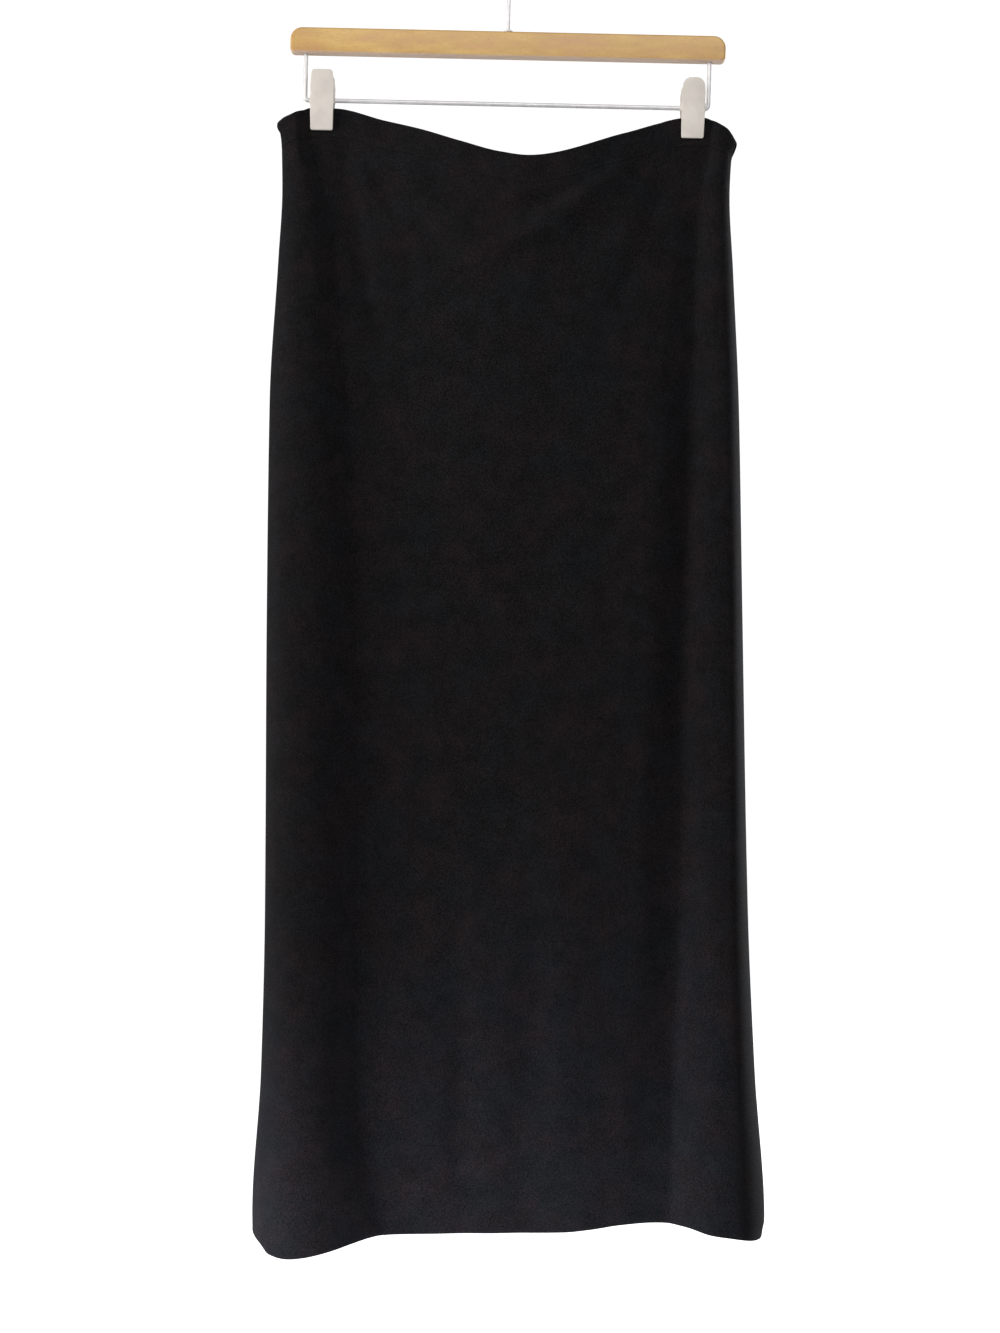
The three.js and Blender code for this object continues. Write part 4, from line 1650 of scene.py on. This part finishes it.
    def inner_threads(self, shape: PanelShape) -> bpy.types.Object:
        """Lays the overlock threads of the casing seam and of the hem, inside one panel.

        Args:
            shape: The panel's shape.

        Returns:
            The threads.
        """
        casing_edge, hem_edge = BAND_HEIGHT + self.allowance, LENGTH - HEM_DEPTH
        paths = [
            self.zigzag(shape, casing_edge, self.casing_zigzag),
            self.zigzag(shape, hem_edge, self.hem_zigzag),
        ]
        name = f"inner_threads_{shape.facing.word}"
        piece = self.threads.lay(name, self.threads.thread, paths, Radius=self.thread)
        return hand_over(piece, Slot.JERSEY)

    def casing_stitches(self, shape: PanelShape) -> bpy.types.Object:
        """Lays the row of stitches that closes the casing, just above its lower edge, outside and in.

        Args:
            shape: The panel's shape.

        Returns:
            The stitches.
        """
        level = BAND_HEIGHT - self.stitch_line
        shares = self.shares(self.stitch_columns)[self.stitch_ends : -self.stitch_ends]
        lines, _ = shape.outside(np.array([level, level + 0.1]), shares)
        line, inward = lines[0], shape.inward(lines)[0]
        paths = [line + inward * depth for depth in self.stitch_depths]
        name = f"casing_stitches_{shape.facing.word}"
        piece = self.threads.lay(
            name,
            self.threads.stitches,
            paths,
            Pitch=self.stitch_pitch,
            Length=self.stitch_length,
            Radius=self.stitch_radius,
        )
        return hand_over(piece, Slot.WAISTBAND)

    def build(self) -> None:
        """Makes every piece of the skirt."""
        for shape in self.panels:
            self.body_panel(shape)
            self.waistband(shape)
            self.waist_allowance(shape)
        for hand in Hand:
            self.side_seam(hand)


# The hanger


def arc(radius: float, angles: np.ndarray, centre: tuple[float, float]) -> np.ndarray:
    """Points of an arc.

    Args:
        radius: Its radius.
        angles: Each point's angle, in radians.
        centre: Its centre.

    Returns:
        The points, in order.
    """
    return np.stack([centre[0] + radius * np.cos(angles), centre[1] + radius * np.sin(angles)], axis=-1)


def quarter_turn(radius: float, start: float, centre: tuple[float, float], steps: int) -> np.ndarray:
    """Points of a quarter circle.

    Args:
        radius: Its radius.
        start: Its first angle, in degrees.
        centre: Its centre.
        steps: How many steps it has.

    Returns:
        The points, in order.
    """
    return arc(radius, np.radians(np.linspace(start, start + 90, steps + 1)), centre)


def rounded_in(radius: float, from_end: np.ndarray) -> np.ndarray:
    """How far a rounded corner draws an edge in near its end.

    Args:
        radius: The corner's radius.
        from_end: Distances from the end.

    Returns:
        How far the edge is drawn in at each.
    """
    into = np.clip(radius - from_end, 0, radius)
    return radius - np.sqrt(radius**2 - into**2)


def upright(flat: np.ndarray, y: float = 0.0) -> np.ndarray:
    """Stands a drawing up, as seen from the front.

    Args:
        flat: Points x 2, across and up.
        y: Where it stands, front to back.

    Returns:
        Points x 3.
    """
    return np.column_stack([flat[:, 0], np.full(len(flat), y), flat[:, 1]])


@dataclass
class Hanger:
    """The hanger: a wooden bar, a wire hook with its collar, a wire rod under the bar and two clips."""

    wood: bpy.types.Material
    wire: bpy.types.Material
    plastic: bpy.types.Material
    tilt: float = HANGER_TILT
    # The hook
    wire_radius: float = 1.5
    bore: float = 38.0
    tip_angle: float = 200.0
    throat_angle: float = -60.0
    shank: float = 31.7
    hook_seat: float = 14.0
    # The bar
    bar_length: float = 380.0
    bar_height: float = 22.0
    bar_thickness: float = 12.0
    top_corner: float = 10.5
    bottom_corner: float = 4.0
    edge: float = 2.0
    # The rod under the bar
    rod_radius: float = 1.9
    rod_half: float = 176.5
    rod_drop: float = 40.4
    rod_bend: float = 2.8
    rod_seat: float = 12.0
    # The sockets in the bar and the collar on it
    socket_room: float = 0.4
    socket_mouth: float = 2.0
    collar_radius: float = 4.0
    collar_height: float = 1.6
    collar_edge: float = 0.2
    # Where the clips are along the rod, and their upper corners
    left_clip: float = -161.2
    left_clip_corner: float = 2.6
    right_clip: float = 162.6
    right_clip_corner: float = 6.5
    # How round the wires are, and which edges of the bar stay sharp
    wire_sides: int = 20
    socket_sides: int = 24
    sharp_angle: float = math.radians(40)

    def __post_init__(self) -> None:
        """Works out the levels that follow from the sizes."""
        self.crook_radius = self.bore / 2 + self.wire_radius
        throat = math.radians(self.throat_angle)
        fall, lean = -math.sin(throat), math.cos(throat)
        self.throat_radius = self.crook_radius * lean / (1 - lean)
        self.crook_centre = -self.bore / 2
        self.shank_top = self.crook_centre - (self.crook_radius + self.throat_radius) * fall
        self.bar_top = self.shank_top - self.shank
        self.bar_bottom = self.bar_top - self.bar_height
        self.rod_level = self.bar_bottom - self.rod_drop

    def hang(self, points: np.ndarray) -> np.ndarray:
        """Tilts points of the level hanger about the top of its hook.

        Args:
            points: Points x 3.

        Returns:
            The tilted points.
        """
        level, slope = math.cos(self.tilt), math.sin(self.tilt)
        x, y, z = np.moveaxis(points, -1, 0)
        return np.stack([x * level + z * slope, y, z * level - x * slope], axis=-1)

    def bar_ring(self, inset: float, y: float) -> np.ndarray:
        """The bar's outline, drawn in by an inset.

        Args:
            inset: How far in.
            y: Where it stands, front to back.

        Returns:
            The ring's points, anticlockwise seen from the front.
        """
        half, height = self.bar_length / 2, self.bar_height
        low, high = self.bottom_corner, self.top_corner
        corners = (
            (low, -90, (half - low, low)),
            (high, 0, (half - high, height - high)),
            (high, 90, (high - half, height - high)),
            (low, 180, (low - half, low)),
        )
        outline = np.vstack([
            quarter_turn(radius - inset, start, centre, 10) for radius, start, centre in corners
        ])
        return upright(outline + (0, self.bar_bottom), y)

    def sockets(self) -> bpy.types.Object:
        """Makes the cutter for the wires' sockets in the bar.

        Returns:
            The cutter.
        """
        rod_low, rod_high = self.bar_bottom - self.socket_mouth, self.bar_bottom + self.rod_seat
        hook_low, hook_high = self.bar_top - self.hook_seat, self.bar_top + self.socket_mouth
        places = (
            (0.0, hook_low, hook_high, self.wire_radius),
            (-self.rod_half, rod_low, rod_high, self.rod_radius),
            (self.rod_half, rod_low, rod_high, self.rod_radius),
        )
        bores = []
        for x, low, high, radius in places:
            path = np.array([(x, 0, low), (x, 0, high)], float)
            bores.append(tube(path, radius + self.socket_room, self.socket_sides, round_ends=False))
        points, faces = join(*bores)
        return make_piece("sockets", self.hang(points), faces, self.wood)

    def bar(self) -> bpy.types.Object:
        """Makes the bar, with rounded edges and with sockets for the wires.

        Returns:
            The bar.
        """
        angles = np.radians(np.linspace(0, 90, 7))
        reach = self.bar_thickness / 2 - self.edge
        insets = self.edge * (1 - np.sin(angles))
        outs = reach + self.edge * np.cos(angles)
        front = [self.bar_ring(inset, -out) for inset, out in zip(insets, outs)]
        back = [self.bar_ring(inset, out) for inset, out in zip(insets[::-1], outs[::-1])]
        points, faces = loft(np.array(front + back))
        piece = make_piece("hanger_bar_wood", self.hang(points), faces, self.wood)
        cutter = self.sockets()
        cut = piece.modifiers.new("sockets", "BOOLEAN")
        cut.object = cutter
        cut.solver = "EXACT"
        graph = bpy.context.evaluated_depsgraph_get()
        mesh = bpy.data.meshes.new_from_object(piece.evaluated_get(graph))
        piece.modifiers.clear()
        piece.data = mesh
        bpy.data.objects.remove(cutter)
        mesh.shade_smooth()
        mesh.set_sharp_from_angle(angle=self.sharp_angle)
        return hand_over(piece, Slot.WOOD, "hanger_bar")

    def wire_piece(self, name: str, path: np.ndarray, radius: float, node: str) -> bpy.types.Object:
        """Makes one of the hanger's wires.

        Args:
            name: The piece's name.
            path: Its middle line on the level hanger, across and up.
            radius: Its radius.
            node: The frame's node that it stands for.

        Returns:
            The wire.
        """
        points, faces = tube(upright(path), radius, self.wire_sides)
        return hand_over(make_piece(name, self.hang(points), faces, self.wire), Slot.WIRE, node)

    def hook(self) -> bpy.types.Object:
        """Makes the hook: a crook, a reverse bend under it and a shank into the bar.

        Returns:
            The hook.
        """
        crook = np.radians(np.linspace(self.tip_angle, self.throat_angle, 72))
        throat = np.radians(np.linspace(180 + self.throat_angle, 180, 20))[1:]
        path = np.concatenate([
            arc(self.crook_radius, crook, (0.0, self.crook_centre)),
            arc(self.throat_radius, throat, (self.throat_radius, self.shank_top)),
            [(0.0, self.bar_top - self.hook_seat + self.socket_room)],
        ])
        return self.wire_piece("hook_wire", path, self.wire_radius, "hanger_hook")

    def collar(self) -> bpy.types.Object:
        """Makes the thin collar where the hook enters the bar.

        Returns:
            The collar.
        """
        inside, outside, edge = self.wire_radius + SEAM_GAP, self.collar_radius, self.collar_edge
        low, high = self.bar_top + SEAM_GAP, self.bar_top + SEAM_GAP + self.collar_height
        rounding = self.collar_height / 2
        rim = quarter_turn(rounding, 0, (outside - rounding, low + rounding), 5)
        profile = [
            (inside, low),
            (outside - edge, low),
            (outside, low + edge),
            *rim,
            (inside + edge, high),
            (inside, high - edge),
        ]
        turns = np.radians(np.arange(0, 360, 7.5))
        rings = np.array([[(r * math.cos(t), r * math.sin(t), z) for t in turns] for r, z in profile])
        faces = ring_faces(len(profile), len(turns), True)
        piece = make_piece("hook_collar", self.hang(rings.reshape(-1, 3)), faces, self.wire)
        return hand_over(piece, Slot.WIRE, "hook_ferrule")

    def rod(self) -> bpy.types.Object:
        """Makes the rod, bent up at both ends into the bar.

        Returns:
            The rod.
        """
        half, bend, level = self.rod_half, self.rod_bend, self.rod_level
        top = self.bar_bottom + self.rod_seat - self.socket_room
        left = quarter_turn(bend, 180, (bend - half, level + bend), 8)
        right = quarter_turn(bend, 270, (half - bend, level + bend), 8)
        path = np.vstack([[(-half, top)], left, right, [(half, top)]])
        return self.wire_piece("rod_wire", path, self.rod_radius, "clip_rod")

    def build(self) -> None:
        """Makes every piece of the hanger."""
        self.bar()
        self.hook()
        self.collar()
        self.rod()
        Clip(self, Hand.LEFT, self.left_clip, self.left_clip_corner).build()
        Clip(self, Hand.RIGHT, self.right_clip, self.right_clip_corner).build()


@dataclass
class Clip:
    """One clip: two jaws on the rod that the spring closes on the cloth."""

    hanger: Hanger
    hand: Hand
    along: float
    top_corner: float
    # The outline of a jaw, seen from the front
    foot_corner: float = 1.5
    foot: float = 19.4
    width: float = 20.6
    top: float = 18.0
    handle: float = 24.3
    jaw: float = 27.0
    # Its side view: the pad on the cloth, the neck by the rod and the handle
    wall: float = 2.0
    neck_room: float = 2.2
    neck_low: float = -11.5
    neck_high: float = 4.0
    neck_bend: float = 2.0
    neck_flare: float = 0.3
    handle_foot: float = 5.0
    pad_end: float = -15.5
    shoulder: tuple[float, float] = (-14.0, -12.0)
    shoulder_dip: float = 0.1
    # Its closest levels, measured from each end
    foot_levels: tuple[float, ...] = (0.0, 0.08, 0.25, 0.6, 1.0, 1.5)
    top_levels: tuple[float, ...] = (0.02, 0.0)
    rounding: float = 0.55
    # Its ears
    ear_radius: float = 4.0
    ear_web: float = 3.6
    ear_wall: float = 1.3
    ear_proud: float = 0.6
    ear_room: float = 0.35
    ear_root: float = 3.0
    ear_soft: float = 0.25
    sharp_angle: float = math.radians(50)
    # The lean of the handles and the spring between them
    spread: float = math.atan(0.2)
    spring_wire: float = 1.2
    spring_inside: float = 2.3
    spring_turns: int = 4
    spring_width: float = 6.4
    spring_leg: float = 14.0

    def place(self, points: np.ndarray) -> np.ndarray:
        """Puts points of the clip, measured from the rod's centre, in the hanging hanger."""
        return self.hanger.hang(points + np.array([self.along, 0, self.hanger.rod_level]))

    def half_width(self, height: np.ndarray) -> np.ndarray:
        """Finds how wide a jaw is, with its four corners rounded.

        Args:
            height: Heights above the rod's centre.

        Returns:
            Half the width at each height.
        """
        levels = (-self.jaw, 0, self.handle / 2, self.handle)
        widths = (self.foot, self.width, self.width, self.top)
        half = np.interp(height, levels, widths) / 2
        corners = ((self.top_corner, self.handle - height), (self.foot_corner, height + self.jaw))
        for radius, from_end in corners:
            half = half - rounded_in(radius, from_end)
        return half

    def levels(self) -> np.ndarray:
        """Chooses a jaw's levels, closer where its ends are rounded.

        Returns:
            Heights above the rod's centre, rising.
        """
        top_bend = np.sin(np.radians(np.linspace(0, 84, 12)))
        heights = np.concatenate([
            np.array(self.foot_levels) - self.jaw,
            np.linspace(2.5 - self.jaw, self.handle - self.top_corner - 1, 46),
            self.handle - self.top_corner * (1 - top_bend),
            self.handle - np.array(self.top_levels),
        ])
        return np.unique(np.round(heights, 4))

    def faces_of_plate(self, heights: np.ndarray) -> tuple[np.ndarray, np.ndarray]:
        """Draws a jaw's plate from the side: a pad on the cloth, a neck by the rod and a handle.

        Args:
            heights: Heights above the rod's centre.

        Returns:
            How far the plate's inner and outer faces stand off the middle plane.
        """
        pad = GRIP + SEAM_GAP
        clear = pad + self.neck_room
        bent = clear + self.neck_flare
        lean = clear + (self.handle - self.handle_foot) * math.tan(self.spread)
        bend = self.neck_high + self.neck_bend
        inner = np.interp(
            heights,
            (-self.jaw, self.pad_end, self.neck_low, self.neck_high, bend, self.handle),
            (pad, pad, clear, clear, bent, lean),
        )
        outer = self.wall + np.interp(
            heights,
            (-self.jaw, *self.shoulder, self.neck_high, bend, self.handle),
            (pad, clear - self.shoulder_dip, clear, clear, bent, lean),
        )
        soften = np.ones(5) / 5
        for face in (inner, outer):
            face[2:-2] = np.convolve(face, soften, "valid")
        return inner, outer

    def plate(self) -> tuple[np.ndarray, list[tuple[int, ...]]]:
        """Makes a jaw's plate, facing +Y, with rounded edges all round.

        Returns:
            Its points and faces.
        """
        heights, radius = self.levels(), self.rounding
        inner, outer = self.faces_of_plate(heights)
        from_end = np.minimum(heights - heights[0], heights[-1] - heights)
        trims = rounded_in(radius, from_end)
        rings = []
        for height, near, far, half, trim in zip(heights, inner, outer, self.half_width(heights), trims):
            left, right, low = radius - half, half - radius, near + trim + radius
            high = max(far - trim - radius, low)
            ring = np.vstack([
                quarter_turn(radius, -90, (right, low), 5),
                quarter_turn(radius, 0, (right, high), 5),
                quarter_turn(radius, 90, (left, high), 5),
                quarter_turn(radius, 180, (left, low), 5),
            ])
            rings.append(np.column_stack([ring, np.full(len(ring), height)]))
        return loft(np.array(rings)[:, ::-1])

    def ear(self, x: float) -> tuple[np.ndarray, list[tuple[int, ...]]]:
        """Makes a jaw's ear: a cheek from the plate with a hole that the rod runs through.

        Args:
            x: The ear's middle along the rod.

        Returns:
            Its points and faces.
        """
        angles = np.radians(np.arange(0, 360, 7.5))
        towards, rise = np.cos(angles), np.sin(angles)
        reach = GRIP + SEAM_GAP + self.ear_root
        to_edge = self.ear_web / np.maximum(np.abs(rise), 1e-6)
        to_plate = reach / np.maximum(towards, 1e-6)
        web = np.maximum(self.ear_radius, np.minimum(to_edge, to_plate))
        outside = np.where(towards > 0, web, self.ear_radius)
        hole = np.full(len(angles), self.hanger.rod_radius + self.ear_room)
        half, soft = self.ear_wall / 2, self.ear_soft
        profile = (
            (hole, -half),
            (outside - soft, -half),
            (outside, soft - half),
            (outside, half - soft),
            (outside - soft, half),
            (hole, half),
        )
        rings = [
            np.column_stack([np.full(len(angles), x + side), radius * towards, radius * rise])
            for radius, side in profile
        ]
        return np.vstack(rings), ring_faces(len(rings), len(angles), True)

    def jaw_piece(self, facing: Facing) -> bpy.types.Object:
        """Makes one jaw.

        Args:
            facing: Which side of the cloth it is on.

        Returns:
            The jaw.
        """
        reach = self.width / 2 + self.ear_proud - self.ear_wall / 2
        if facing is Facing.BACK:
            reach -= self.ear_wall + self.hanger.socket_room
        points, faces = join(self.plate(), self.ear(-reach), self.ear(reach))
        if facing is Facing.FRONT:
            points = points * np.array([-1, -1, 1])
        name = f"clip_{self.hand.word}_{facing.word}_jaw"
        piece = make_piece(name + "_plate", self.place(points), faces, self.hanger.plastic)
        piece.data.set_sharp_from_angle(angle=self.sharp_angle)
        return hand_over(piece, Slot.CLIP, name)

    def spring(self) -> bpy.types.Object:
        """Makes the coil spring, with a leg from each end out to a handle.

        Returns:
            The spring.
        """
        radius = self.spring_inside + self.spring_wire / 2
        sweep = 2 * math.pi * self.spring_turns + math.pi - 2 * self.spread
        coil = radius * sweep
        along = np.linspace(-self.spring_leg, coil + self.spring_leg, 210)
        turned = np.clip(along, 0, coil) / radius
        angle = self.spread + turned
        past = along - turned * radius
        path = np.stack([
            self.spring_width * (turned / sweep - 0.5),
            -radius * np.cos(angle) + past * np.sin(angle),
            -radius * np.sin(angle) - past * np.cos(angle),
        ], axis=-1)
        points, faces = tube(path, self.spring_wire / 2, 10)
        name = f"clip_{self.hand.word}_spring"
        piece = make_piece(name + "_wire", self.place(points), faces, self.hanger.wire)
        return hand_over(piece, Slot.WIRE, name)

    def build(self) -> None:
        """Makes the clip's three pieces."""
        self.jaw_piece(Facing.FRONT)
        self.jaw_piece(Facing.BACK)
        self.spring()


# The studio


@dataclass(frozen=True)
class SoftLight:
    """One soft rectangular light. Its places and sizes are in metres, its beam in degrees."""

    name: str
    place: tuple[float, float, float]
    aim: tuple[float, float, float]
    width: float
    height: float
    watts: float
    colour: tuple[float, float, float]
    beam: float = 180

    def build(self) -> None:
        """Makes the light."""
        data = bpy.data.lights.new(self.name, "AREA")
        data.spread = math.radians(self.beam)
        data.shape = "RECTANGLE"
        data.size, data.size_y = self.width, self.height
        data.energy = self.watts
        data.color = self.colour
        light = bpy.data.objects.new(self.name, data)
        right, on, up = np.array(self.aim) - np.array(self.place)
        pitch = math.atan2(math.hypot(right, on), -up)
        light.rotation_euler = (pitch, 0, math.atan2(on, right) - math.pi / 2)
        light.location = self.place
        light.visible_camera = False
        bpy.context.scene.collection.objects.link(light)


MIDDLE = (0.0, 0.0, -0.6)
WAIST = (0.0, 0.0, -0.2)
LIGHTS = (
    SoftLight("window", (-1.9, -0.75, -0.25), MIDDLE, 1.0, 1.8, 36, (1.0, 0.98, 0.96)),
    SoftLight("top fill", (0.15, -0.9, 0.4), WAIST, 1.0, 0.5, 6, (1.0, 1.0, 1.0)),
    SoftLight("back", (1.7, 1.1, -0.4), MIDDLE, 0.8, 1.6, 26, (0.95, 0.97, 1.0)),
    SoftLight("bounce", (0.0, -0.2, -1.2), (0.0, -0.2, 0.0), 0.66, 0.24, 0.95, (0.74, 0.80, 1.0)),
    SoftLight(
        "low left", (-0.74, -0.34, -1.22), (0.0, 0.0, -1.18), 0.25, 0.2, 1.1, (0.78, 0.81, 1.0), 50
    ),
)


@dataclass
class Studio:
    """The plain white studio and the camera at the photograph's angle."""

    camera_place: tuple[float, float, float] = (-0.00919, -1.62, -0.6403)
    lens: float = 50.0
    sensor: float = 36.0
    nearest: float = 0.05
    farthest: float = 60.0
    floor_level: float = -1.32
    floor_radii: tuple[float, ...] = (0.5, 1.5, 3.0, 6.0)
    surround_light: float = 0.28
    surround_seen: float = 1.05
    lights: tuple[SoftLight, ...] = LIGHTS

    def camera(self) -> None:
        """Makes the camera, level and looking along +Y."""
        data = bpy.data.cameras.new("camera")
        data.lens = self.lens
        data.sensor_width = self.sensor
        data.clip_start = self.nearest
        data.clip_end = self.farthest
        camera = bpy.data.objects.new("camera", data)
        camera.location = self.camera_place
        camera.rotation_euler = (math.pi / 2, 0, 0)
        bpy.context.scene.collection.objects.link(camera)
        bpy.context.scene.camera = camera

    def floor(self) -> None:
        """Makes the floor, a wide disc below the hanging skirt."""
        turns = np.radians(np.arange(0, 360, 5))
        circles = [arc(radius, turns, (0.0, 0.0)) for radius in self.floor_radii]
        flat = np.vstack(circles)
        points = np.column_stack([flat, np.full(len(flat), self.floor_level)]) / MM
        faces = [face[::-1] for face in ring_faces(len(circles), len(turns))]
        faces.append(tuple(range(len(turns))))
        make_piece("studio_floor", points, faces, FloorFinish().material())

    def surround(self) -> None:
        """Makes the white surround, which is brighter to the camera than as a light."""
        world = bpy.data.worlds.new("white surround")
        world.use_nodes = True
        tree = world.node_tree
        back = tree.nodes["Background"]
        back.inputs["Color"].default_value = (1, 1, 1, 1)
        ray = tree.nodes.new("ShaderNodeLightPath")
        mix = tree.nodes.new("ShaderNodeMapRange")
        mix.inputs["To Min"].default_value = self.surround_light
        mix.inputs["To Max"].default_value = self.surround_seen
        tree.links.new(ray.outputs["Is Camera Ray"], mix.inputs["Value"])
        tree.links.new(mix.outputs[0], back.inputs["Strength"])
        bpy.context.scene.world = world

    def build(self) -> None:
        """Makes the camera, the floor, the surround and the lights."""
        bpy.context.scene.view_settings.view_transform = "Standard"
        self.camera()
        self.floor()
        self.surround()
        for light in self.lights:
            light.build()


def main() -> None:
    """Builds the studio, the skirt and the hanger around the frame."""
    logging.basicConfig(level=logging.INFO, format="%(name)s: %(message)s")
    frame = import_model()
    LOG.info("frame with %d nodes", len(frame["nodes"]))
    Studio().build()
    jersey = JerseyFinish().material()
    threads = ThreadMaker(ThreadFinish().material())
    Skirt(jersey, threads).build()
    wood, wire, plastic = WoodFinish().material(), WireFinish().material(), PlasticFinish().material()
    Hanger(wood, wire, plastic).build()


if __name__ == "__main__":
    main()
